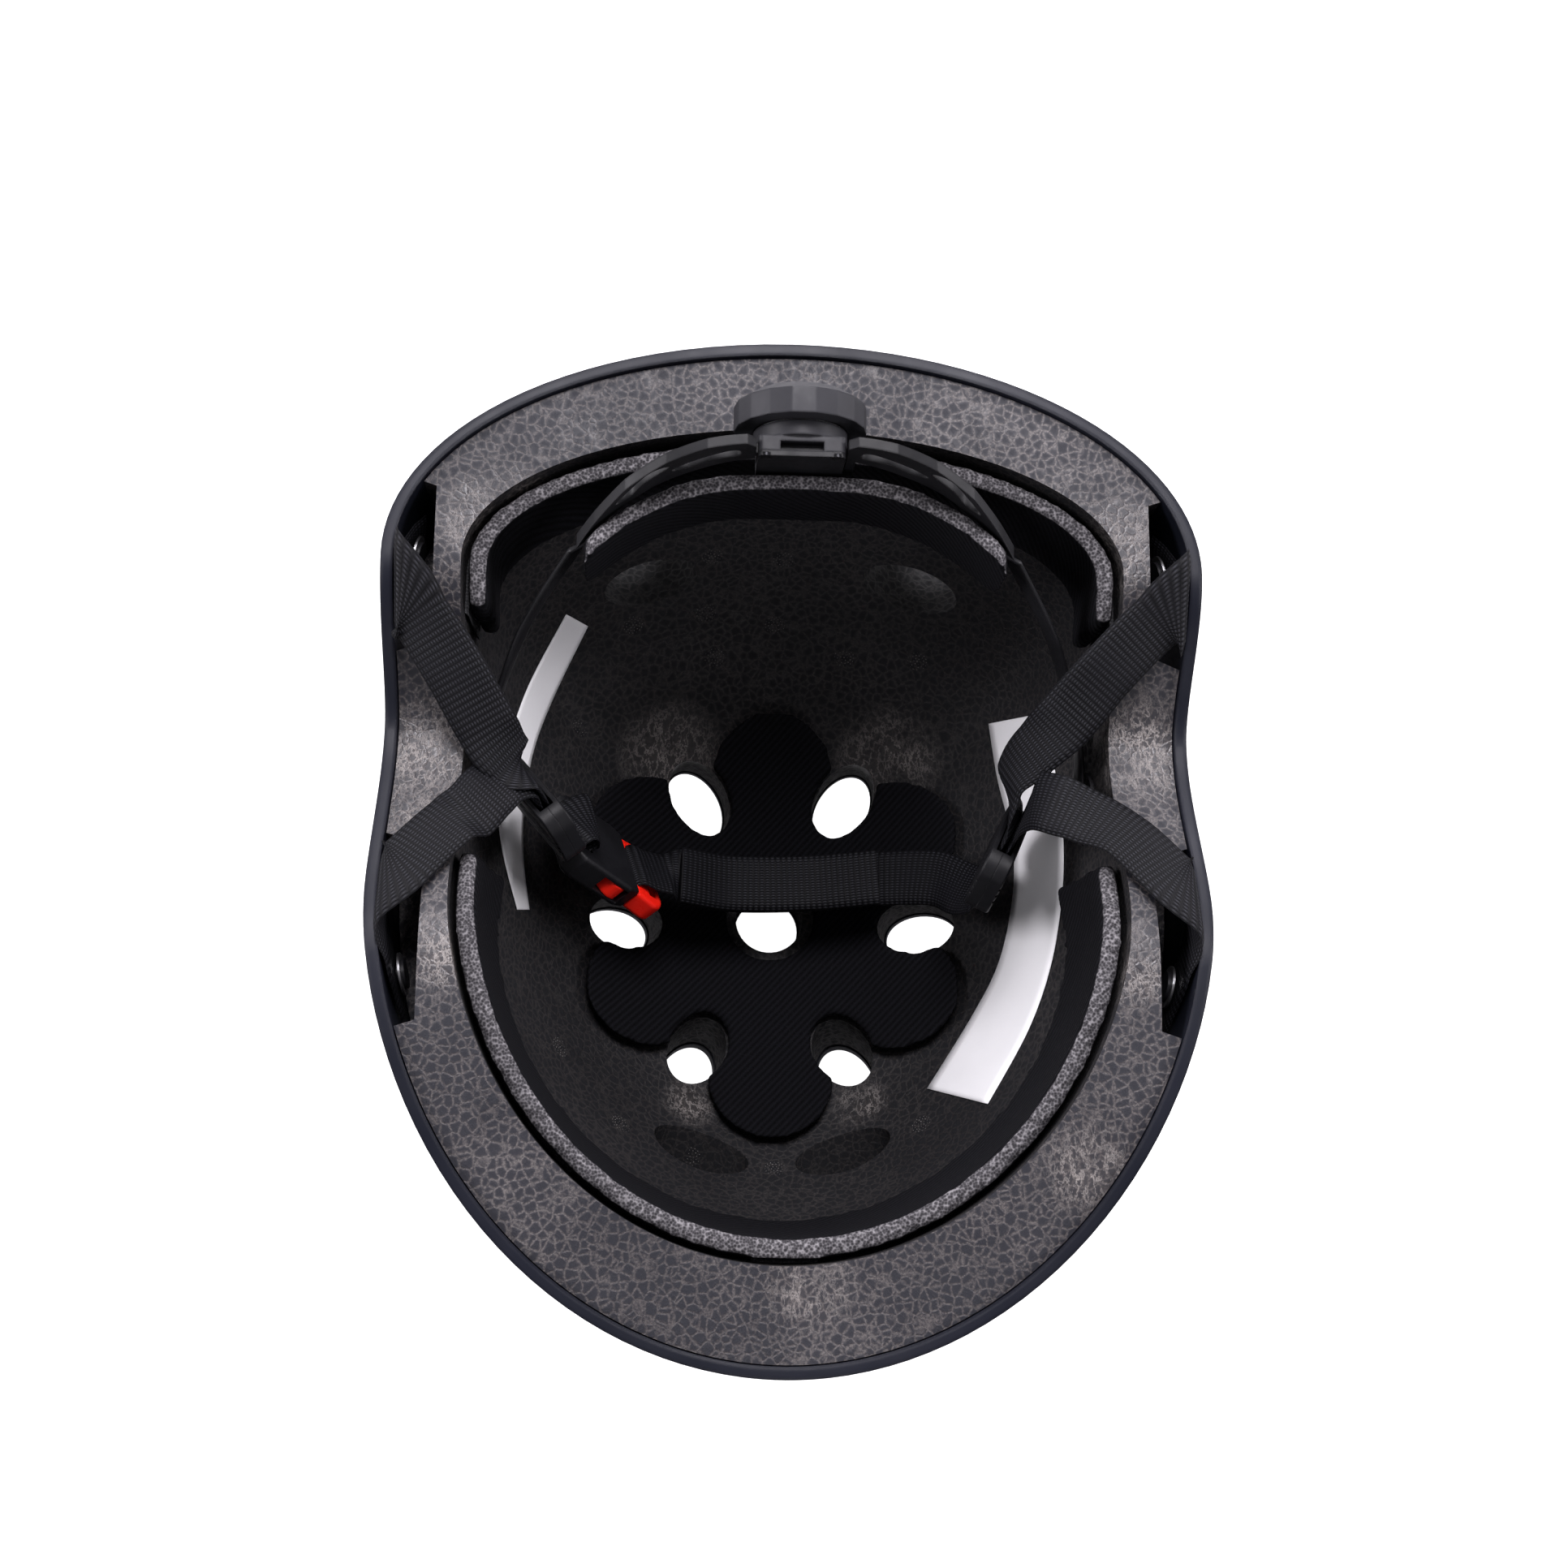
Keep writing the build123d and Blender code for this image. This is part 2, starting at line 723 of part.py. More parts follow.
def make_buckle_female():
    """Socket with an end bar, a mouth and an open window at each side."""
    half = buckle_width / 2
    waist = half - buckle_wall
    outline = Polyline(
        (-buckle_female_length, -waist),
        (-buckle_female_length + buckle_round, -half),
        (-buckle_window_start, -half),
        (0, -waist),
        (0, waist),
        (-buckle_window_start, half),
        (-buckle_female_length + buckle_round, half),
        (-buckle_female_length, waist),
        close=True,
    )
    body = Pos(0, 0, -buckle_t / 2) * extrude(make_face(outline), amount=buckle_t)
    faces = body.edges().group_by(Axis.Z)
    body = fillet(faces[0] + faces[-1], buckle_round / 2)
    body = body - Pos(-cavity_length / 2, 0, 0) * Box(cavity_length, cavity_width, cavity_t)
    body = body - Box(2 * buckle_wall, cavity_width, cavity_t)
    window_x = -buckle_window_start - buckle_window_length / 2
    window = Box(buckle_window_length, buckle_width + overrun, cavity_t)
    window = fillet(window.edges().filter_by(Axis.Y), prong_play)
    body = body - Pos(window_x, 0, 0) * window
    return buckle_plane.location * (body - buckle_slot(female_slot_x))


def make_buckle_male():
    """Base with its webbing slot, and the middle tongue that guides it in."""
    half = buckle_width / 2
    outline = Polyline(
        (buckle_mouth_gap, -half + buckle_wall),
        (buckle_male_length, -half),
        (buckle_male_length, half),
        (buckle_mouth_gap, half - buckle_wall),
        close=True,
    )
    thick = buckle_t - buckle_wall
    base = Pos(0, 0, -thick / 2) * extrude(make_face(outline), amount=thick)
    base = fillet(base.edges().filter_by(Axis.Z).group_by(Axis.X)[-1], buckle_base_round)
    faces = base.edges().group_by(Axis.Z)
    base = fillet(faces[0] + faces[-1], buckle_round / 2)
    reach = tongue_length + buckle_mouth_gap + buckle_wall
    middle = (buckle_mouth_gap + buckle_wall - tongue_length) / 2
    tongue = Pos(middle, 0, 0) * Box(reach, tongue_width, cavity_t - 2 * prong_play)
    return buckle_plane.location * (base - buckle_slot(male_slot_x) + tongue)


def make_buckle_prongs():
    """The two sprung arms: a slim root, and a head that fills the side window."""
    root = cavity_width / 2 - prong_play
    neck = root - prong_t
    head = buckle_width / 2
    front = -buckle_window_start - prong_play
    back = -buckle_window_start - buckle_window_length + prong_play
    middle = (front + back) / 2
    prongs = []
    for side in (-1, 1):
        sides = [
            Line((buckle_mouth_gap, side * neck), (buckle_mouth_gap, side * root)),
            Line((buckle_mouth_gap, side * root), (front, side * root)),
            Line((front, side * root), (front, side * (head - buckle_wall))),
            ThreePointArc(
                (front, side * (head - buckle_wall)),
                (middle, side * head),
                (back + buckle_wall, side * root),
            ),
            Line((back + buckle_wall, side * root), (back, side * neck)),
            Line((back, side * neck), (buckle_mouth_gap, side * neck)),
        ]
        thick = cavity_t - 2 * prong_play
        prongs.append(Pos(0, 0, -thick / 2) * extrude(make_face(Wire(sides)), amount=thick, dir=(0, 0, 1)))
    return [buckle_plane.location * prong for prong in prongs]


# Chin strap: places as shares from the right divider to the buckle, and the widths' directions
chin_shares = (
    ((0.497, 0.012, 0.467), (0.25, 0.90, -0.30)),
    ((0.432, 0.052, 0.388), (0.05, 1, 0)),
    ((0.285, 0.062, 0.325), (0.05, 1, 0)),
    ((0.105, 0.050, 0.305), (0.05, 1, 0)),
    ((-0.118, 0.043, 0.318), (0.05, 1, 0)),
    ((-0.255, 0.048, 0.375), (0, 1, 0)),
)
chin_tail_stations = 4
short_strap_shares = (((-0.535, 0.104, 0.622), (0.35, -0.80, 0.48)),)


def buckle_stations(x):
    """Webbing that comes down through a slot of the buckle."""
    across = buckle_plane.y_dir
    return [(buckle_point(x, 0, z), across, None) for z in (buckle_t, 0, -buckle_t / 2)]


def divider_exit(name):
    """Webbing from inside a divider out of its lower end."""
    low = -divider_height / 2
    return [divider_station(name, y, 0) for y in (-webbing_gap / 2, low, low - 2 * webbing_t)]


def make_chin_strap():
    """Long webbing from the right divider to the male base of the buckle."""
    stations = divider_exit("right")
    stations += [shares_station(place, across) for place, across in chin_shares]
    return ribbon(stations + buckle_stations(male_slot_x))


def make_chin_tail():
    """The free end, laid back along the chin strap from the buckle."""
    shift = Vector(0, 0, webbing_t + 3 * webbing_gap)
    stations = []
    for place, across in chin_shares[-chin_tail_stations:]:
        centre, width, fold = shares_station(place, across)
        stations.append((centre + shift, width, fold))
    return ribbon(stations)


def make_buckle_strap():
    """Short webbing from the left divider to the end bar of the female buckle."""
    stations = divider_exit("left")
    stations += [shares_station(place, across) for place, across in short_strap_shares]
    return ribbon(stations + buckle_stations(female_slot_x))


# Fit dial, drawn on its own plane: X to the right, Y up, Z inwards to the head
tilt = math.radians(dial_tilt)
dial_plane = Plane((0, dial_y, dial_z), x_dir=(1, 0, 0), z_dir=(0, -math.cos(tilt), -math.sin(tilt)))
pitch_r = tooth_module * pinion_teeth / 2
tooth_rise = tooth_rise_share * tooth_module
tooth_fall = tooth_fall_share * tooth_module
rack_rise = rack_rise_share * tooth_module
rack_top = pitch_r + tooth_fall + rack_bar
collar_start = running_gap
housing_start = collar_start + collar_depth
chamber_start = housing_start + housing_wall
rack_start = chamber_start + rack_clearance
rack_end = rack_start + rack_t
chamber_end = rack_end + rack_clearance
cover_end = chamber_end + cover_t
housing_top = rack_top + rack_clearance + housing_rail


screw_x = housing_half_width - housing_rail / 2 - housing_wall / 2
screw_y = rack_top + rack_clearance + housing_rail / 2
screw_places = [(x, y) for x in (-screw_x, screw_x) for y in (-screw_y, screw_y)]
dial_screw_reach = knob_tier_depth + knob_crown_depth / 2


def tube(outer_d, inner_d, bottom, top):
    """A round sleeve between two heights on its own axis."""
    return disc(outer_d, bottom, top) - disc(inner_d, bottom - overrun, top + overrun)


def make_knob():
    """Dial with flat facets, a smaller rear tier and a shallow dish."""
    wide = extrude(RegularPolygon(knob_d / 2, knob_facets), amount=-knob_tier_depth)
    low = Pos(0, 0, -knob_tier_depth) * RegularPolygon(knob_d / 2 - pin_clearance, knob_facets)
    high = Pos(0, 0, -knob_tier_depth - knob_crown_depth) * RegularPolygon(knob_crown_d / 2, knob_facets)
    knob = wide + loft([low.face(), high.face()], ruled=True)
    back = -knob_tier_depth - knob_crown_depth
    knob = knob - disc(knob_dish_d, back - overrun, back + knob_dish_depth)
    bore = shaft_d + 2 * shaft_clearance
    knob = knob - disc(bore, -knob_tier_depth, overrun)
    knob = knob - disc(dial_screw_d, -dial_screw_reach - shaft_clearance, overrun)
    recess = disc(click_ring_d + 2 * running_gap, -click_ring_t - shaft_clearance, overrun)
    hub = disc(click_ring_bore - 2 * running_gap, -overrun, overrun)
    return dial_plane.location * (knob - (recess - hub))


def pinion_tooth_angle(radius):
    """Half the angle of a tooth at a radius, on an involute flank."""
    base_r = pitch_r * math.cos(math.radians(pressure_angle))
    half_pitch = (math.pi * tooth_module / 2 - tooth_slack) / 2 / pitch_r
    lean = math.radians(pressure_angle)
    start = half_pitch + math.tan(lean) - lean
    turn = math.acos(min(base_r / max(radius, base_r), 1))
    return start - (math.tan(turn) - turn)


def make_pinion():
    """Pinion with involute teeth, and the shaft that carries the knob."""
    root_r = pitch_r - tooth_fall + tooth_slack
    tip_r = pitch_r + tooth_rise
    gear = Circle(root_r)
    for index in range(pinion_teeth):
        middle = (index + 0.5) * 2 * math.pi / pinion_teeth
        flank = []
        for radius in (root_r * tooth_root_share, pitch_r, tip_r):
            half = pinion_tooth_angle(radius)
            flank.append((radius * math.cos(half), radius * math.sin(half)))
        outline = Polyline(*flank, *[(x, -y) for x, y in reversed(flank)], close=True)
        gear += Rot(0, 0, math.degrees(middle)) * make_face(outline)
    pinion = Pos(0, 0, rack_start) * extrude(gear, amount=rack_t)
    pinion += disc(shaft_d, -knob_tier_depth + running_gap, rack_start)
    pinion -= disc(dial_screw_d, -knob_tier_depth, cover_end)
    pinion -= disc(dial_screw_head_d + 2 * rivet_clearance, rack_end - dial_screw_head_t, cover_end)
    return dial_plane.location * pinion


def make_dial_screw():
    """Screw that draws the knob on to the pinion's shaft."""
    shank = dial_screw_d - 2 * shaft_clearance
    screw = disc(shank, -dial_screw_reach, rack_end - dial_screw_head_t)
    screw += disc(dial_screw_head_d, rack_end - dial_screw_head_t, rack_end)
    return dial_plane.location * screw


def make_click_ring():
    """Flat spring ring in the knob's recess."""
    return dial_plane.location * tube(click_ring_d, click_ring_bore, -click_ring_t, 0)


def make_housing():
    """Collar behind the knob, and the open-ended chamber that the racks run in."""
    height = 2 * housing_top
    width = 2 * housing_half_width
    plate = Pos(0, 0, (housing_start + chamber_end) / 2) * Box(width, height, chamber_end - housing_start)
    plate = fillet(plate.edges().filter_by(Axis.Z), housing_wall)
    chamber_height = 2 * (rack_top + rack_clearance)
    middle = (chamber_start + chamber_end + overrun) / 2
    chamber_length = chamber_end + overrun - chamber_start
    chamber = Pos(0, 0, middle) * Box(width + overrun, chamber_height, chamber_length)
    slot_t = rack_t - 2 * rack_clearance
    slot_y = housing_top - housing_rail / 2
    slot = Pos(0, slot_y, (rack_start + rack_end) / 2) * Box(housing_half_width, 2 * housing_rail, slot_t)
    housing = plate - chamber - slot
    housing += disc(collar_d, collar_start, housing_start)
    housing -= disc(shaft_d + 2 * shaft_clearance, -overrun, chamber_end)
    bottom = chamber_end - cover_screw_length
    for x, y in screw_places:
        housing -= Pos(x, y, 0) * disc(cover_screw_d + 2 * shaft_clearance, bottom, chamber_end + overrun)
    return dial_plane.location * housing


def make_cover():
    """Plate that closes the chamber on the head's side."""
    height = 2 * housing_top
    width = 2 * housing_half_width
    cover = Pos(0, 0, (chamber_end + cover_end) / 2) * Box(width, height, cover_t)
    cover = fillet(cover.edges().filter_by(Axis.Z), housing_wall)
    sink = cover_end - cover_screw_head_t
    for x, y in screw_places:
        cover -= Pos(x, y, 0) * disc(cover_screw_d + 2 * shaft_clearance, 0, cover_end + overrun)
        cover -= Pos(x, y, 0) * disc(cover_screw_head_d + 2 * pin_clearance, sink, cover_end + overrun)
    return dial_plane.location * cover


def make_cover_screws():
    """Four small screws that hold the cover on."""
    sink = cover_end - cover_screw_head_t
    bottom = chamber_end - cover_screw_length + shaft_clearance
    screws = []
    for x, y in screw_places:
        screw = disc(cover_screw_d, bottom, sink) + disc(cover_screw_head_d, sink, cover_end)
        screws.append(dial_plane.location * Pos(x, y, 0) * screw)
    return Compound(children=screws)


def rack_teeth(length):
    """Row of rack teeth that point down from a bar, in step with the pinion."""
    pitch = math.pi * tooth_module
    lean = math.tan(math.radians(pressure_angle))
    half = (pitch / 2 - tooth_slack) / 2
    low = pitch_r - rack_rise
    high = pitch_r + tooth_fall
    teeth = []
    for index in range(-round(length / pitch), round(length / pitch) + 1):
        x = index * pitch
        if abs(x) + pitch / 2 > length:
            continue
        tip = half - rack_rise * lean
        foot = half + tooth_fall * lean
        outline = Polyline((x - tip, low), (x + tip, low), (x + foot, high), (x - foot, high), close=True)
        teeth.append(make_face(outline))
    return teeth


# Lattice arm, seen along the dial: shares of the reach and of the rack's top height
arm_outline_shares = (
    (0.205, 0.47),
    (0.205, 1.55),
    (0.245, 1.86),
    (0.42, 1.78),
    (0.60, 1.40),
    (0.78, 0.66),
    (0.92, -0.52),
    (1.00, -1.30),
    (0.94, -1.62),
    (0.84, -1.00),
    (0.66, -0.42),
    (0.46, -0.12),
)
arm_slot_shares = ((0.265, 0.98), (0.275, 1.20), (0.40, 1.05), (0.57, 0.42), (0.52, 0.32), (0.38, 0.62))
arm_hook_shares = ((0.60, 1.02), (0.66, 1.08), (0.76, 0.40), (0.82, -0.25), (0.76, -0.25), (0.70, 0.25))


def arm_profile(side):
    """Outline of a lattice arm with its two slots."""
    def points(shares):
        return [(side * x * arm_reach, y * rack_top) for x, y in shares]

    profile = make_face(Polyline(*points(arm_outline_shares), close=True))
    for shares in (arm_slot_shares, arm_hook_shares):
        profile -= make_face(Spline(*points(shares), periodic=True))
    return profile


def arm_band(side, start, thickness, height):
    """Band that is flat behind the dial, then bends forward round the head."""
    flat = housing_half_width
    centre = (side * flat, start + arm_bend_radius)
    outer = arm_bend_radius
    inner = arm_bend_radius - thickness
    swing = math.radians(arm_band_turn)
    far = Vector(centre[0] + side * outer * math.sin(swing), centre[1] - outer * math.cos(swing))
    near = Vector(centre[0] + side * inner * math.sin(swing), centre[1] - inner * math.cos(swing))
    half = swing / 2
    mid_far = (centre[0] + side * outer * math.sin(half), centre[1] - outer * math.cos(half))
    mid_near = (centre[0] + side * inner * math.sin(half), centre[1] - inner * math.cos(half))
    edges = [
        Line((0, start), (centre[0], start)),
        ThreePointArc((centre[0], start), mid_far, (far.X, far.Y)),
        Line((far.X, far.Y), (near.X, near.Y)),
        ThreePointArc((near.X, near.Y), mid_near, (centre[0], start + thickness)),
        Line((centre[0], start + thickness), (0, start + thickness)),
        Line((0, start + thickness), (0, start)),
    ]
    plan = make_face(Wire(edges))
    upright = Plane((0, -height, 0), x_dir=(1, 0, 0), z_dir=(0, 1, 0))
    flipped = mirror(plan, Plane.XZ)
    return extrude(upright * flipped, amount=2 * height)


def make_arm(side):
    """Lattice arm and its rack: the right rack runs below the pinion, the left one above."""
    band = arm_band(side, rack_start, rack_t, 4 * rack_top)
    profile = extrude(arm_profile(side), amount=2 * arm_bend_radius, dir=(0, 0, 1))
    lattice = band & profile
    tip = housing_half_width - 2 * rack_clearance
    bar_low = pitch_r + tooth_fall
    root_x = arm_outline_shares[0][0] * arm_reach
    bar = Pos((root_x - tip) / 2, (bar_low + rack_top) / 2) * Rectangle(root_x + tip, rack_top - bar_low)
    rack = bar
    for tooth in rack_teeth(tip):
        rack += tooth
    rack = Pos(0, 0, rack_start) * extrude(rack, amount=rack_t)
    if side < 0:
        rack = mirror(rack, Plane.YZ)
    else:
        rack = mirror(rack, Plane.XZ)
        drop = Pos(root_x + rack_bar / 2, 0, rack_start + rack_t / 2) * Box(rack_bar, 2 * rack_top, rack_t)
        rack += drop
    return dial_plane.location * (lattice + rack)


def cradle_plan(height):
    """Band of the cradle pad, in front of the housing and the arms."""
    start = cover_end + pad_gap
    right = arm_band(1, start, cradle_pad_t, height)
    left = arm_band(-1, start, cradle_pad_t, height)
    return right + left


def make_cradle_pad():
    """Pad on the fit dial's inner side, with a bowed top edge and rounded ends."""
    top = -cradle_top_drop
    low = top - cradle_height
    half = cradle_half_width
    droop = cradle_end_droop
    edges = [
        ThreePointArc((-half, top - droop), (0, top), (half, top - droop)),
        Line((half, top - droop), (half, low - droop)),
        ThreePointArc((half, low - droop), (0, low), (-half, low - droop)),
        Line((-half, low - droop), (-half, top - droop)),
    ]
    face = make_face(Wire(edges))
    face = fillet(face.vertices(), cradle_pad_t)
    solid = cradle_plan(2 * cradle_height) & extrude(face, amount=2 * arm_bend_radius)
    return dial_plane.location * solid


def make_anchor(plane):
    """Round plug that pins the end of a belt into the foam."""
    anchor = disc(anchor_d, -anchor_t / 2, anchor_t / 2) + disc(anchor_pin_d, -anchor_pin_length, 0)
    return plane.location * anchor


def arm_end(side):
    """Middle of an arm's far end, where its belt starts."""
    share_x = (arm_outline_shares[7][0] + arm_outline_shares[8][0]) / 2
    share_y = (arm_outline_shares[7][1] + arm_outline_shares[8][1]) / 2
    x = share_x * arm_reach
    bend = x - housing_half_width
    middle_r = arm_bend_radius - rack_t / 2
    depth = rack_start + rack_t / 2 + middle_r - math.sqrt(middle_r * middle_r - bend * bend)
    return dial_plane.from_local_coords(Vector(side * x, share_y * rack_top, depth))


# Belts: two places between the arm's end and the anchor, as shares on the right side
belt_shares = ((0.655, 0.450, 0.855), (0.722, 0.345, 0.760), (0.752, 0.250, 0.722))


def make_belt(side):
    """Thin belt from an arm's end, under the rear strap, to its anchor in the foam."""
    plane = anchor_planes[0 if side < 0 else 1]
    up = Vector(0, 0, 1)
    first = spot(belt_shares[0])
    first.X = side * first.X
    start = arm_end(side)
    start = start + (first - start).normalized() * (belt_width / 2 + running_gap)
    end = plane.origin + plane.z_dir * (anchor_t / 2 + belt_t / 2 + webbing_gap)
    stations = [(start, up, None)]
    for shares in belt_shares:
        place = spot(shares)
        stations.append((Vector(side * place.X, place.Y, place.Z), up, None))
    stations.append((end, plane.x_dir.cross(plane.z_dir), None))
    return ribbon(stations, belt_width, belt_t)


def make_all():
    """Every node of the helmet by name."""
    nodes = {}
    nodes["outer_shell"] = make_shell()
    nodes["foam_liner"] = make_liner()
    nodes["brow_pad"] = make_wall_pad(brow_pad_drop, brow_pad_height, -pad_block, brow_pad_end_y)
    nodes["rear_ring_pad"] = make_wall_pad(ring_pad_drop, ring_pad_height, ring_pad_start_y, pad_block)
    nodes["crown_pad"] = make_crown_pad()
    nodes["hook_dots"] = make_dots()
    nodes["strap_rivets"] = make_rivets()
    nodes["rivet_washers"] = make_washers()
    layer = (webbing_t + webbing_gap) / 2
    rear = (rear_rivet_y, rear_fold_y, rear_over_shares, rear_cross_share)
    front = (front_rivet_y, front_fold_y, front_over_shares, front_cross_share)
    nodes["strap_rear_right"] = make_side_strap("right", *rear, right_rear_shares, -layer)
    nodes["strap_front_right"] = make_side_strap("right", *front, right_front_shares, layer)
    nodes["strap_rear_left"] = make_side_strap("left", *rear, left_rear_shares, -layer)
    nodes["strap_front_left"] = make_side_strap("left", *front, left_front_shares, layer)
    for name in ("left", "right"):
        base, cover = make_divider(name)
        nodes[f"divider_base_{name}"] = base
        nodes[f"divider_cover_{name}"] = cover
    nodes["chin_strap"] = make_chin_strap()
    nodes["chin_strap_tail"] = make_chin_tail()
    nodes["buckle_strap"] = make_buckle_strap()
    nodes["buckle_female"] = make_buckle_female()
    nodes["buckle_male"] = make_buckle_male()
    nodes["buckle_prong_left"], nodes["buckle_prong_right"] = make_buckle_prongs()
    nodes["dial_knob"] = make_knob()
    nodes["dial_pinion"] = make_pinion()
    nodes["dial_screw"] = make_dial_screw()
    nodes["dial_housing"] = make_housing()
    nodes["housing_cover"] = make_cover()
    nodes["cover_screws"] = make_cover_screws()
    nodes["click_ring"] = make_click_ring()
    for side, name in ((-1, "left"), (1, "right")):
        nodes[f"lattice_arm_{name}"] = make_arm(side)
        nodes[f"fit_belt_{name}"] = make_belt(side)
    nodes["belt_anchor_left"] = make_anchor(anchor_planes[0])
    nodes["belt_anchor_right"] = make_anchor(anchor_planes[1])
    nodes["cradle_pad"] = make_cradle_pad()
    return nodes


os.makedirs("parts", exist_ok=True)
for name, shape in make_all().items():
    export_step(shape, f"parts/{name}.step")
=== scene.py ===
import math
import random

import bpy
from mathutils import Matrix, Vector
from mathutils.bvhtree import BVHTree


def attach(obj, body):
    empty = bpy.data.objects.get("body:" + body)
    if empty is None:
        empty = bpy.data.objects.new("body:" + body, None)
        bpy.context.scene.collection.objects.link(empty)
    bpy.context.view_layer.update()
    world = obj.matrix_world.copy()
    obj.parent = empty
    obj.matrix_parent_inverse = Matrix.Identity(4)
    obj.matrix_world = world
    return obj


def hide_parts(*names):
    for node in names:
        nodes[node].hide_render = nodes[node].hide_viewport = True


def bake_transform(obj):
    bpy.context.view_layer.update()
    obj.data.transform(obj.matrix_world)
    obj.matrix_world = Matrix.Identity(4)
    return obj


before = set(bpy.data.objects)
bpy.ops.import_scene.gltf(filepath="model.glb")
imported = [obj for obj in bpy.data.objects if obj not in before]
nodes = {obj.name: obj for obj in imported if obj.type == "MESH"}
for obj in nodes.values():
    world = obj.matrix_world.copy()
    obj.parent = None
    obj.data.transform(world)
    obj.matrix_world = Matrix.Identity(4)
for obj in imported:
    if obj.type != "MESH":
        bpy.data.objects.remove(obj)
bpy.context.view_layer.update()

# Skateboard helmet, crown down. Metres, in the frame of the CAD model.
MM = 0.001

# Webbing and belts: ribs, yarns, widths and thicknesses
RIB = 1.6 * MM
YARN = 0.75 * MM
WEBBING_WIDTH = 15.5 * MM
WEBBING_THICK = 1.5 * MM
BELT_WIDTH = 7.5 * MM
BELT_THICK = 1.5 * MM


# Camera at the photograph's place: where it stands, how it is turned, its focal length and film width in mm
CAMERA_PLACE = (-0.03186, -0.11734, 0.67307)
CAMERA_TURN = (0.2366, -0.0557, 0.0154)
FOCAL_LENGTH = 52.59
FILM_WIDTH = 36.0
CLIP_START = 0.01


def make_camera():
    data = bpy.data.cameras.new("photo_camera")
    camera = bpy.data.objects.new("photo_camera", data)
    bpy.context.scene.collection.objects.link(camera)
    turn = Vector(CAMERA_TURN)
    spin = Matrix.Rotation(turn.length, 4, turn.normalized())
    camera.matrix_world = Matrix.Translation(CAMERA_PLACE) @ spin
    data.sensor_width = FILM_WIDTH
    data.lens = FOCAL_LENGTH
    data.clip_start = CLIP_START
    bpy.context.scene.camera = camera
    return camera


CAMERA = make_camera()


# Places on the foam, found from where they are in the photograph
PHOTO_SIZE = 1932


def tree_of(node):
    """A node's faces, ready for rays to be sent at them."""
    mesh = nodes[node].data
    points = [vertex.co.copy() for vertex in mesh.vertices]
    return BVHTree.FromPolygons(points, [tuple(polygon.vertices) for polygon in mesh.polygons])


FOAM_TREE = tree_of("foam_liner")


def seen_on_foam(across, down, lift):
    """The point of the foam that a place in the photograph shows, drawn a little off it."""
    eye = CAMERA.matrix_world.translation
    focal = CAMERA.data.lens / CAMERA.data.sensor_width * PHOTO_SIZE
    way = CAMERA.matrix_world.to_3x3() @ Vector((across - PHOTO_SIZE / 2, PHOTO_SIZE / 2 - down, -focal))
    way.normalize()
    hit, normal, _, _ = FOAM_TREE.ray_cast(eye, way)
    if normal.dot(way) > 0:
        normal = -normal
    return hit + normal * lift, normal


# Material nodes
BEVEL_SAMPLES = 4
MIX_SHARE, MIX_FIRST, MIX_SECOND, MIX_RESULT = 0, 6, 7, 2


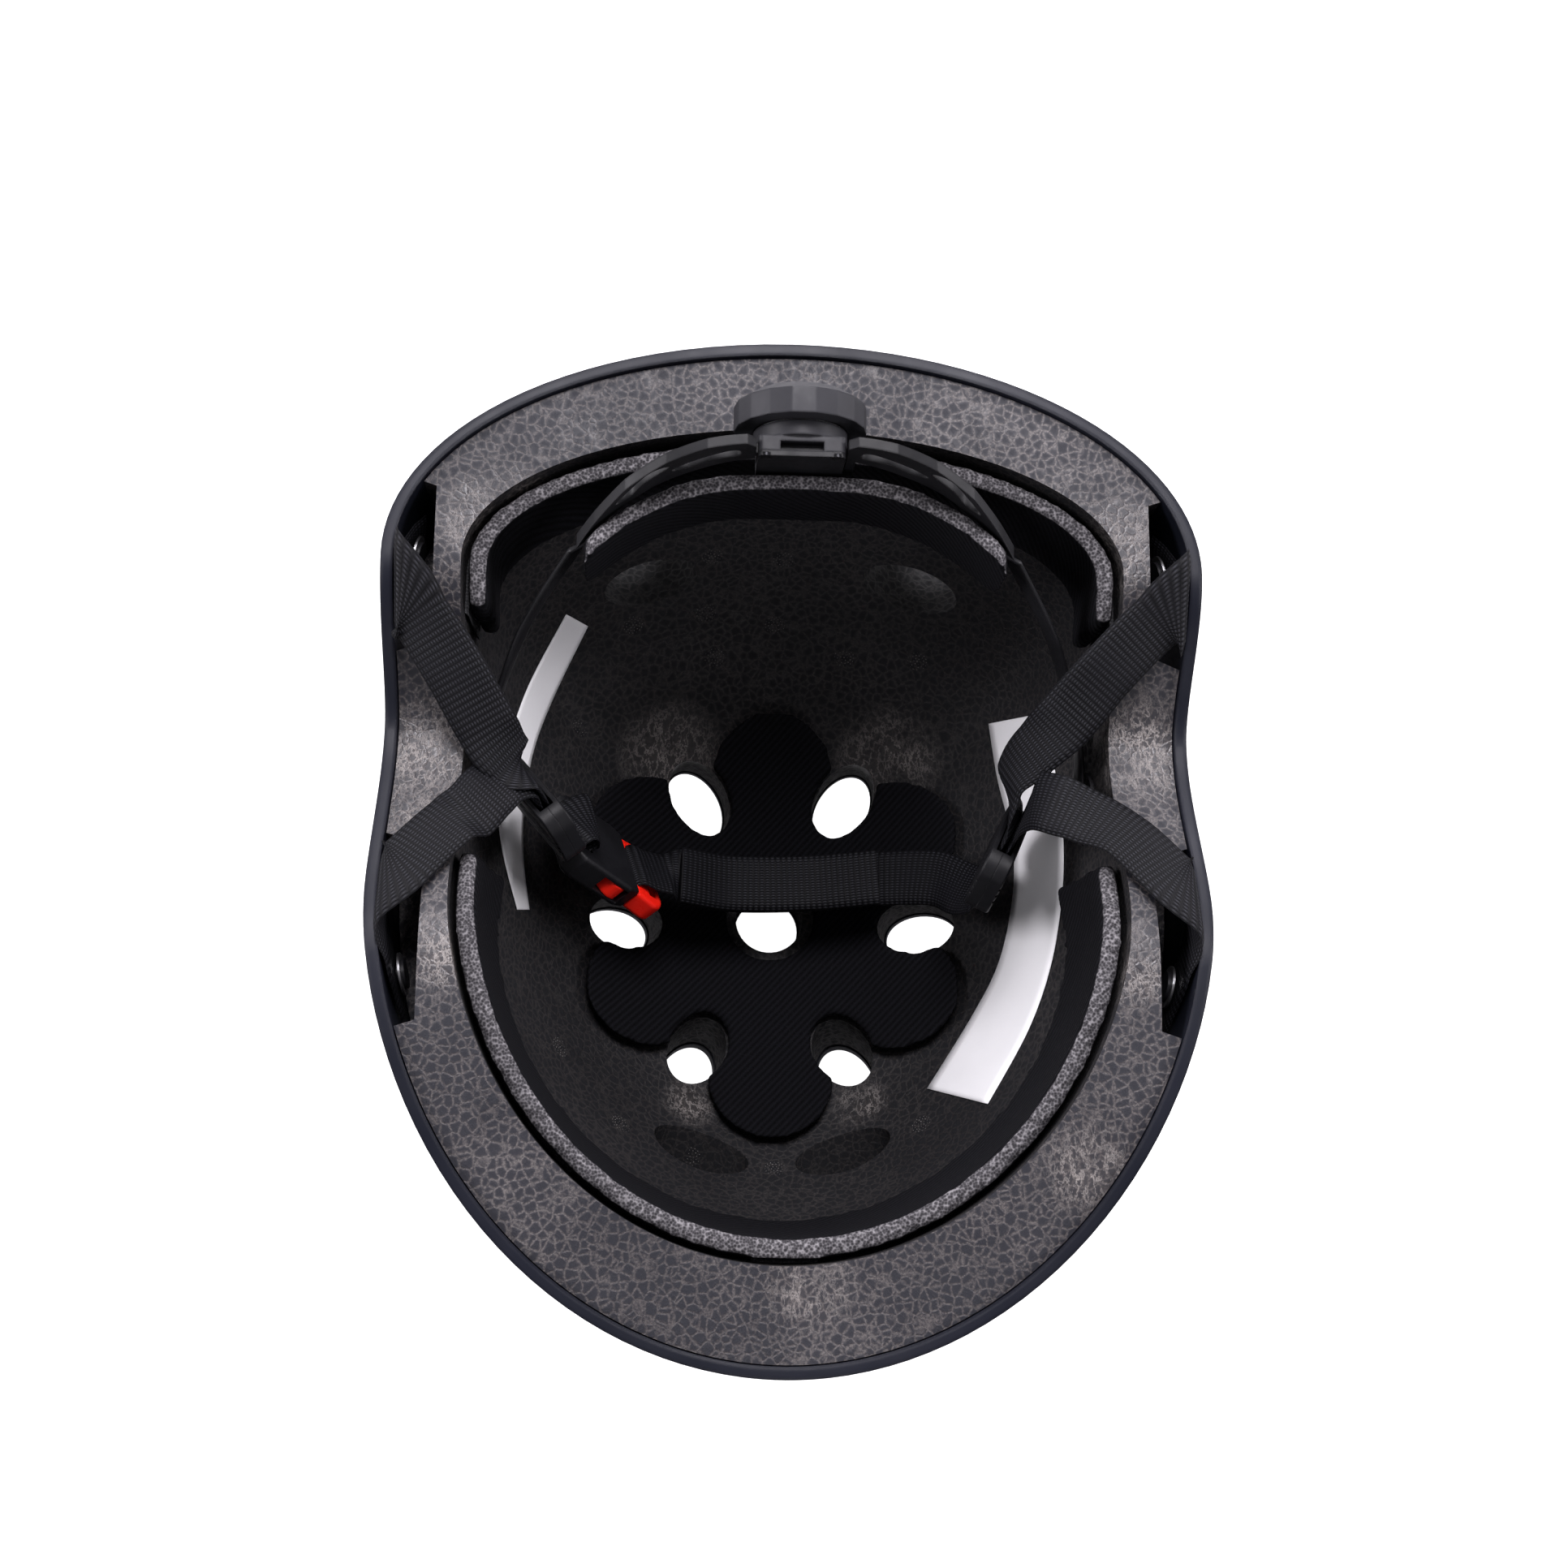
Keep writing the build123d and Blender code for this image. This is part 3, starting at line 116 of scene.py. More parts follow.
class Graph:
    """Small helper that writes a material's nodes."""

    def __init__(self, name):
        self.material = bpy.data.materials.new(name)
        self.material.use_nodes = True
        self.tree = self.material.node_tree
        self.shader = self.tree.nodes["Principled BSDF"]
        self.place = self.add("ShaderNodeTexCoord").outputs["Object"]

    def add(self, kind, **inputs):
        node = self.tree.nodes.new(kind)
        for key, value in inputs.items():
            node.inputs[key.replace("_", " ")].default_value = value
        return node

    def link(self, source, target):
        self.tree.links.new(source, target)

    def feed(self, value, socket):
        """Link a node's output to a socket, or set the socket to a color or a number."""
        if isinstance(value, bpy.types.NodeSocket):
            self.link(value, socket)
        elif isinstance(value, tuple):
            socket.default_value = (*value, 1)
        else:
            socket.default_value = value

    def mapped(self, **inputs):
        """The object's places, turned or stretched."""
        node = self.add("ShaderNodeMapping", **inputs)
        self.link(self.place, node.inputs["Vector"])
        return node.outputs[0]

    def noise(self, scale, detail=3.0, rough=0.55, place=None):
        node = self.add("ShaderNodeTexNoise", Scale=scale, Detail=detail, Roughness=rough)
        self.link(place or self.place, node.inputs["Vector"])
        return node.outputs["Fac"]

    def cells(self, scale, feature="F1", place=None, randomness=1.0):
        node = self.add("ShaderNodeTexVoronoi", Scale=scale, Randomness=randomness)
        node.feature = feature
        self.link(place or self.place, node.inputs["Vector"])
        return node.outputs["Distance"]

    def ramp(self, source, positions, colors):
        node = self.add("ShaderNodeValToRGB")
        ramp = node.color_ramp
        while len(ramp.elements) < len(colors):
            ramp.elements.new(0.5)
        for element, position, color in zip(ramp.elements, positions, colors):
            element.position = position
            element.color = (*color, 1)
        self.link(source, node.inputs["Fac"])
        return node.outputs["Color"]

    def grey(self, source, low, high, at=(0.0, 1.0)):
        """A value that goes from low to high while the source goes through the span at."""
        node = self.add("ShaderNodeMapRange", From_Min=at[0], From_Max=at[1], To_Min=low, To_Max=high)
        self.link(source, node.inputs["Value"])
        return node.outputs["Result"]

    def math(self, kind, one, two=0.5):
        node = self.add("ShaderNodeMath")
        node.operation = kind
        self.link(one, node.inputs[0])
        self.feed(two, node.inputs[1])
        return node.outputs[0]

    def mix(self, share, one, two):
        node = self.add("ShaderNodeMix")
        node.data_type = "RGBA"
        self.link(share, node.inputs[MIX_SHARE])
        self.feed(one, node.inputs[MIX_FIRST])
        self.feed(two, node.inputs[MIX_SECOND])
        return node.outputs[MIX_RESULT]

    def vector(self, kind, one, two, output="Vector"):
        node = self.add("ShaderNodeVectorMath")
        node.operation = kind
        self.link(one, node.inputs[0])
        self.feed(two, node.inputs["Scale"] if kind == "SCALE" else node.inputs[1])
        return node.outputs[output]

    def height_of(self, source):
        node = self.add("ShaderNodeSeparateXYZ")
        self.link(source, node.inputs[0])
        return node.outputs["Z"]

    def facing_up(self):
        return self.height_of(self.add("ShaderNodeNewGeometry").outputs["Normal"])

    def bump(self, height, distance, strength, below=None):
        node = self.add("ShaderNodeBump", Distance=distance, Strength=strength)
        self.link(height, node.inputs["Height"])
        if below is not None:
            self.link(below, node.inputs["Normal"])
        return node.outputs["Normal"]

    def bevel(self, radius):
        node = self.add("ShaderNodeBevel", Radius=radius)
        node.samples = BEVEL_SAMPLES
        return node.outputs["Normal"]

    def done(self, color, rough, normal, **plain):
        self.link(color, self.shader.inputs["Base Color"])
        self.feed(rough, self.shader.inputs["Roughness"])
        self.link(normal, self.shader.inputs["Normal"])
        for key, value in plain.items():
            self.shader.inputs[key.replace("_", " ")].default_value = value
        return self.material


# Colors of the finishes: a pair or more where a pattern goes from one to the next
SHELL_NAVY = ((0.007, 0.008, 0.013), (0.011, 0.012, 0.019))
SEAM_GREYS = ((0.080, 0.071, 0.070), (0.140, 0.126, 0.122))
BEAD_BLACKS = ((0.015, 0.015, 0.020), (0.028, 0.027, 0.033))
BEAD_MIDDLE = (0.009, 0.010, 0.016)
# Pale grey of the worn places: partly wear, partly a painted highlight
WORN_GREY_AND_HIGHLIGHT = (0.270, 0.246, 0.232)
CLOTH_BLACKS = ((0.0020, 0.0020, 0.0026), (0.0062, 0.0062, 0.0080))
CLOTH_FUZZ = (0.013, 0.013, 0.016)
CUT_GREYS = ((0.018, 0.017, 0.019), (0.068, 0.065, 0.070), (0.24, 0.23, 0.24))
# Webbing black, with a painted highlight on the rib and yarn crests and painted shade in the dips
WEB_BLACKS_AND_CREST_LIGHT = ((0.0012, 0.0012, 0.002), (0.008, 0.008, 0.010), (0.030, 0.031, 0.037))
WEB_WORN = (0.006, 0.006, 0.008)
BLACK_PLASTIC = ((0.005, 0.005, 0.006), (0.009, 0.009, 0.011))
# Dial plastic: dark grey, lightened in part as a painted highlight on the knob
DIAL_GREYS_AND_SHEEN = ((0.018, 0.018, 0.021), (0.028, 0.028, 0.033))
ARM_PLASTIC = ((0.006, 0.006, 0.007), (0.011, 0.011, 0.013))
RED_PLASTIC = ((0.86, 0.012, 0.006), (0.95, 0.020, 0.008))
PLATED_STEEL = ((0.33, 0.33, 0.34), (0.52, 0.52, 0.53))
BLACKENED_STEEL = ((0.018, 0.018, 0.020), (0.035, 0.035, 0.038))
HOOK_GREYS = ((0.05, 0.05, 0.055), (0.010, 0.010, 0.012))
LABEL_WHITES = ((0.90, 0.90, 0.91), (0.95, 0.95, 0.96))
MARK_GREYS = ((0.10, 0.095, 0.09), (0.22, 0.21, 0.2))

# Foam: beads in a metre, how far their seams wander, and the heights where its ledge starts and is whole
BEADS = 430.0
WANDER = 0.8 * MM
LEDGE_HEIGHTS = (80 * MM, 100 * MM)
LEDGE_SLOPES = (0.30, 0.75)
# Painted shade: the foam inside the bowl, off the ledge, keeps this share of its colour
PAINTED_INNER_SHADE = 0.30

# Cloth of the pads: ribs, pores of the cut faces, and how far a face looks up where the cloth gives way
CLOTH_RIBS = 210
CUT_PORES = 1500
CUT_SLOPES = (0.45, 0.62)
HOOKS_PER_METRE = 1100


# Finishes
def shell_material():
    g = Graph("shell_plastic")
    color = g.ramp(g.noise(22, 4), (0.3, 0.75), SHELL_NAVY)
    rough = g.grey(g.noise(60, 5), 0.34, 0.48, (0.3, 0.7))
    normal = g.bump(g.noise(2600, 2), 0.03 * MM, 0.35, g.bevel(1.6 * MM))
    return g.done(color, rough, normal, Specular_IOR_Level=0.2)


def wear_and_highlight_share(g, worn_and_lit_places):
    """How much the foam is paled, partly by wear and partly by a painted highlight: most near the given
    places, in clouds.
    """
    rub_and_highlight = None
    for spot, reach in worn_and_lit_places:
        near = g.grey(g.vector("DISTANCE", g.place, spot, "Value"), 1.0, 0.0, (reach * 0.25, reach))
        rub_and_highlight = near if rub_and_highlight is None else g.math("MAXIMUM", rub_and_highlight, near)
    return g.math("MULTIPLY", rub_and_highlight, g.grey(g.noise(70, 5, 0.65), 0.15, 1.0, (0.34, 0.56)))


def foam_material(worn_and_lit_places):
    """Moulded beads with painted shade: darkened inside the bowl and paler on the ledge; round the worn
    places rubbed shiny and paler, partly wear and partly a painted highlight.
    """
    g = Graph("foam_beads")
    wobble = g.add("ShaderNodeTexNoise", Scale=700)
    g.link(g.place, wobble.inputs["Vector"])
    place = g.vector("ADD", g.place, g.vector("SCALE", wobble.outputs["Color"], WANDER))
    edge = g.cells(BEADS, "DISTANCE_TO_EDGE", place)
    seam = g.grey(edge, 1.0, 0.0, (0.015, 0.17))
    middle = g.grey(edge, 0.0, 1.0, (0.10, 0.32))
    high = g.grey(g.height_of(g.place), 0.0, 1.0, LEDGE_HEIGHTS)
    ledge = g.math("MULTIPLY", high, g.grey(g.facing_up(), 0.0, 1.0, LEDGE_SLOPES))
    rub_and_highlight = wear_and_highlight_share(g, worn_and_lit_places)
    patches = g.grey(g.noise(24, 4, 0.6), 0.0, 1.0, (0.40, 0.68))
    crumbs = g.grey(g.noise(1700, 3, 0.7), 0.15, 1.0, (0.38, 0.62))
    color = g.mix(g.math("MULTIPLY", seam, crumbs), g.mix(patches, *BEAD_BLACKS), g.mix(patches, *SEAM_GREYS))
    color = g.mix(g.math("MULTIPLY", middle, 0.5), color, BEAD_MIDDLE)
    # Painted shade: off the ledge, inside the bowl, the colour is scaled down
    color = g.vector("SCALE", color, g.grey(ledge, PAINTED_INNER_SHADE, 1.0))
    streaked = g.vector("MULTIPLY", g.place, Vector((1.0, 0.45, 0.8)))
    crease = g.math("ABSOLUTE", g.math("SUBTRACT", g.noise(480, 5, 0.65, streaked), 0.5))
    scratch = g.grey(crease, 1.0, 0.12, (0.0, 0.045))
    # Worn places painted paler: partly real wear, partly a painted highlight on the ledges and corners
    color = g.mix(g.math("MULTIPLY", rub_and_highlight, scratch), color, WORN_GREY_AND_HIGHLIGHT)
    shine = g.math("MULTIPLY", g.grey(ledge, 0.35, 1.0), g.noise(55, 5, 0.65))
    rough = g.grey(g.math("ADD", shine, rub_and_highlight), 0.62, 0.30, (0.20, 0.90))
    rough = g.math("ADD", rough, g.math("MULTIPLY", middle, 0.16))
    dent = g.bump(g.grey(edge, 0.0, 1.0, (0.0, 0.16)), 0.08 * MM, 0.8)
    fine = g.bump(g.noise(1500, 3), 0.09 * MM, 0.5, dent)
    return g.done(color, rough, g.bump(scratch, 0.08 * MM, 0.5, fine), Specular_IOR_Level=0.38)


def pad_material(name, cut_faces, run):
    """Ribbed cloth, and on the faces that look up the open foam that it was cut from."""
    g = Graph(name)
    rib = g.add("ShaderNodeTexWave", Scale=CLOTH_RIBS, Distortion=0.6, Detail=2.0)
    rib.wave_type = "BANDS"
    rib.bands_direction = "X"
    g.link(g.mapped(Rotation=run), rib.inputs["Vector"])
    ribs = rib.outputs["Fac"]
    fuzz = g.noise(2600, 3)
    cloth = g.mix(g.grey(fuzz, 0.0, 0.5, (0.5, 0.8)), g.mix(ribs, *CLOTH_BLACKS), CLOTH_FUZZ)
    normal = g.bump(ribs, 0.22 * MM, 0.8, g.bump(fuzz, 0.1 * MM, 0.5))
    if cut_faces:
        cut = g.ramp(g.cells(CUT_PORES), (0.05, 0.5, 0.9), CUT_GREYS)
        cloth = g.mix(g.grey(g.facing_up(), 1.0, 0.0, CUT_SLOPES), cut, cloth)
    return g.done(cloth, 0.95, normal, Specular_IOR_Level=0.09)


def webbing_material():
    g = Graph("webbing_weave_and_sheen")
    split = g.add("ShaderNodeSeparateXYZ")
    g.link(g.add("ShaderNodeUVMap").outputs["UV"], split.inputs[0])
    rib = g.math("ABSOLUTE", g.math("SINE", g.math("MULTIPLY", split.outputs["X"], math.pi / RIB)))
    yarn = g.math("ABSOLUTE", g.math("SINE", g.math("MULTIPLY", split.outputs["Y"], math.pi / YARN)))
    knit_and_crest_light = g.math("MULTIPLY", rib, yarn)
    wear = g.grey(g.noise(90, 4), 0.0, 0.5, (0.45, 0.75))
    # Painted highlight on the crests of ribs and yarns, painted shade in the dips between them
    color = g.mix(wear, g.ramp(knit_and_crest_light, (0.15, 0.7, 1.0), WEB_BLACKS_AND_CREST_LIGHT), WEB_WORN)
    normal = g.bump(knit_and_crest_light, 0.2 * MM, 0.9, g.bump(g.noise(2500, 2), 0.06 * MM, 0.5))
    return g.done(color, 0.6, normal, Specular_IOR_Level=0.15)


def plastic_material(name, colors, rough_low, rough_high, edge):
    g = Graph(name)
    color = g.ramp(g.noise(70, 4), (0.3, 0.75), colors)
    rough = g.grey(g.noise(180, 4), rough_low, rough_high, (0.3, 0.7))
    grain = g.bump(g.noise(3500, 2), 0.02 * MM, 0.5, g.bevel(edge))
    return g.done(color, rough, grain, Specular_IOR_Level=0.26)


def steel_material(name, colors):
    g = Graph(name)
    lines = g.noise(12, 4, 0.6, g.mapped(Scale=(40, 900, 40)))
    color = g.ramp(lines, (0.2, 0.8), colors)
    rough = g.grey(lines, 0.24, 0.42)
    return g.done(color, rough, g.bump(lines, 0.03 * MM, 0.5, g.bevel(0.2 * MM)), Metallic=1.0)


def hook_material():
    g = Graph("hook_tape")
    hooks = g.cells(HOOKS_PER_METRE, randomness=0.35)
    return g.done(g.ramp(hooks, (0.1, 0.6), HOOK_GREYS), 0.7, g.bump(hooks, 0.4 * MM, 0.9))


def label_material():
    g = Graph("blank_label")
    color = g.ramp(g.noise(45, 3), (0.3, 0.7), LABEL_WHITES)
    return g.done(color, 0.42, g.bump(g.noise(160, 3), 0.3 * MM, 0.4))


def mark_material():
    g = Graph("steam_mark")
    color = g.ramp(g.noise(900, 2), (0.3, 0.7), MARK_GREYS)
    return g.done(color, 0.35, g.bump(g.noise(2500, 2), 0.1 * MM, 0.5))


# Worn places of the foam, which also carry a painted highlight on the lit ledges and corners: across and down
# in the photograph, and how far each one reaches
WORN_AND_HIGHLIGHT_PLACES = (
    (590, 635, 0.012), (508, 930, 0.020), (520, 1000, 0.015), (540, 1170, 0.012), (1385, 675, 0.014),
    (1412, 925, 0.018), (1400, 1190, 0.012), (1340, 1440, 0.013), (630, 1335, 0.010), (640, 610, 0.010),
    (825, 925, 0.017), (1095, 935, 0.017), (1000, 1585, 0.012), (850, 1360, 0.009), (1060, 1360, 0.009),
)
SHELL = shell_material()
FOAM = foam_material([(seen_on_foam(across, down, 0.0)[0], reach) for across, down, reach in WORN_AND_HIGHLIGHT_PLACES])
PAD_WALL = pad_material("pad_wall", True, (0.5, 0.3, 0.9))
PAD_CROWN = pad_material("pad_crown", False, (0.0, 0.0, 0.75))
WEBBING = webbing_material()
BLACK = plastic_material("black_plastic", BLACK_PLASTIC, 0.38, 0.54, 0.4 * MM)
# The dial's colour is partly its own grey and partly a painted highlight
DIAL_AND_SHEEN = plastic_material("dial_plastic_and_sheen", DIAL_GREYS_AND_SHEEN, 0.42, 0.56, 0.8 * MM)
ARM = plastic_material("arm_plastic", ARM_PLASTIC, 0.38, 0.52, 0.6 * MM)
RED = plastic_material("red_plastic", RED_PLASTIC, 0.24, 0.36, 0.7 * MM)
STEEL = steel_material("plated_steel", PLATED_STEEL)
DARK_STEEL = steel_material("blackened_steel", BLACKENED_STEEL)
HOOKS = hook_material()
LABEL = label_material()
MARK = mark_material()

NODE_MATERIALS = {
    "outer_shell": SHELL,
    "foam_liner": FOAM,
    "hook_dots": HOOKS,
    "strap_rivets": BLACK,
    "rivet_washers": STEEL,
    "cover_screws": DARK_STEEL,
    "dial_screw": STEEL,
    "click_ring": STEEL,
    "dial_knob": DIAL_AND_SHEEN,
    "dial_housing": DIAL_AND_SHEEN,
    "housing_cover": BLACK,
    "dial_pinion": BLACK,
    "lattice_arm_left": ARM,
    "lattice_arm_right": ARM,
    "belt_anchor_left": BLACK,
    "belt_anchor_right": BLACK,
    "buckle_female": BLACK,
    "buckle_male": RED,
    "buckle_prong_left": RED,
    "buckle_prong_right": RED,
    "divider_base_left": BLACK,
    "divider_cover_left": BLACK,
    "divider_base_right": BLACK,
    "divider_cover_right": BLACK,
}
for name, material in NODE_MATERIALS.items():
    nodes[name].data.materials.clear()
    nodes[name].data.materials.append(material)


def new_mesh(name, points, faces, material, uvs=None):
    mesh = bpy.data.meshes.new(name)
    mesh.from_pydata([tuple(point) for point in points], [], faces)
    mesh.validate()
    if uvs:
        layer = mesh.uv_layers.new(name="UVMap")
        for loop in mesh.loops:
            layer.data[loop.index].uv = uvs[loop.vertex_index]
    for polygon in mesh.polygons:
        polygon.use_smooth = True
    mesh.materials.append(material)
    piece = bpy.data.objects.new(name, mesh)
    bpy.context.scene.collection.objects.link(piece)
    return piece


# Webbing: rows for each rib, points across, how closely it keeps to its chords, how deep the dips between
# ribs are, how square its edges are, how thin they get, and its reach as a share of the half width
ROWS_PER_RIB = 4
ACROSS = 9
TENSION = 0.85
RIB_DIP = 0.24
EDGE_POWER = 8
EDGE_SHARE = 0.12
REACH_SHARE = 0.995

# Each station of a route is a centre and the way of the width, or half the width itself in mm at a fold,
# which is told by its length
FOLD_LENGTH = 2
ROUTES = {
    "strap_rear_right": [
        ((0.0942, 0.0800, 0.1140), (-0.164, 0.631, 0.759)),
        ((0.0962, 0.0750, 0.1182), (-0.076, 0.637, 0.767)),
        ((0.0974, 0.0685, 0.1236), (0.015, 0.639, 0.769)),
        ((0.0975, 0.0615, 0.1345), (0.000, 12.125, 5.521)),
        ((0.0905, 0.0570, 0.1320), (0.640, -0.770, -0.482)),
        ((0.0785, 0.0448, 0.1268), (0.640, -0.770, -0.450)),
        ((0.0700, 0.0352, 0.1190), (0.640, -0.720, -0.100)),
        ((0.0628, 0.0285, 0.1120), (0.550, -0.600, 0.450)),
        ((0.0575, 0.0225, 0.1040), (0.300, -0.450, 0.850)),
        ((0.0600, 0.0137, 0.0969), (0.352, 0.745, -0.567)),
        ((0.0589, 0.0114, 0.0932), (0.352, 0.745, -0.567)),
        ((0.0565, 0.0063, 0.0851), (0.352, 0.745, -0.567)),
    ],
    "strap_front_right": [
        ((0.0938, -0.0380, 0.1149), (0.120, 0.786, -0.607)),
        ((0.0950, -0.0340, 0.1200), (0.109, 0.787, -0.608)),
        ((0.0962, -0.0288, 0.1268), (0.094, 0.788, -0.608)),
        ((0.0979, -0.0143, 0.1345), (0.000, 9.791, -4.104)),
        ((0.0913, -0.0058, 0.1305), (0.790, 0.610, -0.318)),
        ((0.0830, 0.0040, 0.1252), (0.790, 0.610, -0.322)),
        ((0.0735, 0.0095, 0.1215), (0.600, 0.770, -0.100)),
        ((0.0662, 0.0132, 0.1185), (0.250, 0.960, 0.050)),
        ((0.0628, 0.0150, 0.1130), (0.200, 0.960, 0.000)),
        ((0.0622, 0.0145, 0.1040), (0.330, 0.850, -0.350)),
        ((0.0617, 0.0129, 0.0969), (0.352, 0.745, -0.567)),
        ((0.0606, 0.0106, 0.0932), (0.352, 0.745, -0.567)),
        ((0.0582, 0.0056, 0.0851), (0.352, 0.745, -0.567)),
    ],
    "strap_rear_left": [
        ((-0.0942, 0.0800, 0.1140), (0.164, 0.631, 0.759)),
        ((-0.0962, 0.0750, 0.1182), (0.076, 0.637, 0.767)),
        ((-0.0974, 0.0685, 0.1236), (-0.015, 0.639, 0.769)),
        ((-0.0975, 0.0615, 0.1345), (0.000, 12.125, 5.521)),
        ((-0.0918, 0.0540, 0.1318), (-0.760, -0.640, -0.420)),
        ((-0.0832, 0.0415, 0.1270), (-0.830, -0.550, -0.250)),
        ((-0.0760, 0.0300, 0.1205), (-0.850, -0.520, -0.100)),
        ((-0.0703, 0.0225, 0.1148), (-0.550, -0.800, 0.200)),
        ((-0.0658, 0.0196, 0.1100), (0.559, -0.703, 0.441)),
        ((-0.0645, 0.0180, 0.1060), (0.559, -0.703, 0.441)),
        ((-0.0618, 0.0147, 0.0972), (0.559, -0.703, 0.441)),
    ],
    "strap_front_left": [
        ((-0.0938, -0.0380, 0.1149), (-0.120, 0.786, -0.607)),
        ((-0.0950, -0.0340, 0.1200), (-0.109, 0.787, -0.608)),
        ((-0.0962, -0.0288, 0.1268), (-0.094, 0.788, -0.608)),
        ((-0.0979, -0.0143, 0.1345), (0.000, 9.791, -4.104)),
        ((-0.0913, -0.0058, 0.1305), (-0.790, 0.610, -0.318)),
        ((-0.0830, 0.0040, 0.1252), (-0.790, 0.610, -0.322)),
        ((-0.0787, 0.0070, 0.1229), (-0.830, 0.550, 0.200)),
        ((-0.0750, 0.0127, 0.1189), (-0.750, 0.620, 0.100)),
        ((-0.0714, 0.0172, 0.1144), (-0.620, 0.700, -0.250)),
        ((-0.0672, 0.0185, 0.1100), (0.559, -0.703, 0.441)),
        ((-0.0660, 0.0169, 0.1060), (0.559, -0.703, 0.441)),
        ((-0.0633, 0.0135, 0.0972), (0.559, -0.703, 0.441)),
    ],
    "chin_strap": [
        ((0.0573, 0.0058, 0.0848), (0.352, 0.745, -0.567)),
        ((0.0549, 0.0007, 0.0767), (0.352, 0.745, -0.567)),
        ((0.0542, -0.0008, 0.0742), (0.352, 0.745, -0.567)),
        ((0.0507, 0.0015, 0.0640), (0.250, 0.900, -0.300)),
        ((0.0441, 0.0066, 0.0532), (0.050, 1.000, 0.000)),
        ((0.0291, 0.0079, 0.0445), (0.050, 1.000, 0.000)),
        ((0.0107, 0.0064, 0.0418), (0.050, 1.000, 0.000)),
        ((-0.0120, 0.0055, 0.0436), (0.050, 1.000, 0.000)),
        ((-0.0260, 0.0061, 0.0514), (0.000, 1.000, 0.000)),
        ((-0.0300, 0.0064, 0.0528), (-0.263, 0.823, -0.504)),
        ((-0.0343, 0.0067, 0.0561), (-0.263, 0.823, -0.504)),
        ((-0.0379, 0.0076, 0.0593), (-0.263, 0.823, -0.504)),
        ((-0.0402, 0.0068, 0.0592), (-0.263, 0.823, -0.504)),
    ],
    "chin_strap_tail": [
        ((0.0291, 0.0079, 0.0471), (0.050, 1.000, 0.000)),
        ((0.0107, 0.0064, 0.0443), (0.050, 1.000, 0.000)),
        ((-0.0120, 0.0055, 0.0461), (0.050, 1.000, 0.000)),
        ((-0.0260, 0.0061, 0.0539), (0.000, 1.000, 0.000)),
    ],
    "buckle_strap": [
        ((-0.0625, 0.0140, 0.0968), (0.559, -0.703, 0.441)),
        ((-0.0598, 0.0106, 0.0880), (0.559, -0.703, 0.441)),
        ((-0.0590, 0.0095, 0.0853), (0.559, -0.703, 0.441)),
        ((-0.0546, 0.0133, 0.0852), (0.350, -0.800, 0.480)),
        ((-0.0497, 0.0154, 0.0783), (-0.263, 0.823, -0.504)),
        ((-0.0557, 0.0114, 0.0749), (-0.263, 0.823, -0.504)),
        ((-0.0587, 0.0093, 0.0731), (-0.263, 0.823, -0.504)),
    ],
    "fit_belt_left": [
        ((-0.0543, 0.0714, 0.1354), (0.000, 0.000, 1.000)),
        ((-0.0668, 0.0574, 0.1171), (0.000, 0.000, 1.000)),
        ((-0.0736, 0.0440, 0.1041), (0.000, 0.000, 1.000)),
        ((-0.0767, 0.0319, 0.0989), (0.000, 0.000, 1.000)),
        ((-0.0765, 0.0200, 0.0964), (0.209, 0.000, 0.978)),
    ],
    "fit_belt_right": [
        ((0.0543, 0.0714, 0.1354), (0.000, 0.000, 1.000)),
        ((0.0668, 0.0574, 0.1171), (0.000, 0.000, 1.000)),
        ((0.0736, 0.0440, 0.1041), (0.000, 0.000, 1.000)),
        ((0.0767, 0.0319, 0.0989), (0.000, 0.000, 1.000)),
        ((0.0765, 0.0200, 0.0964), (0.209, 0.000, 0.978)),
    ],
}


def squared(across, run):
    """The way of the width, turned square to the run."""
    return (across - run * across.dot(run)).normalized()


def cubic(points, index, share):
    """Point on a cubic through the stations, eased so that it stays close to the straight runs."""
    a = points[max(index - 1, 0)]
    b = points[index]
    c = points[index + 1]
    d = points[min(index + 2, len(points) - 1)]
    chord = (c - b).length
    start = (c - a).normalized() * chord * TENSION
    end = (d - b).normalized() * chord * TENSION
    s2 = share * share
    s3 = s2 * share
    return b * (2 * s3 - 3 * s2 + 1) + start * (s3 - 2 * s2 + share) + c * (3 * s2 - 2 * s3) + end * (s3 - s2)


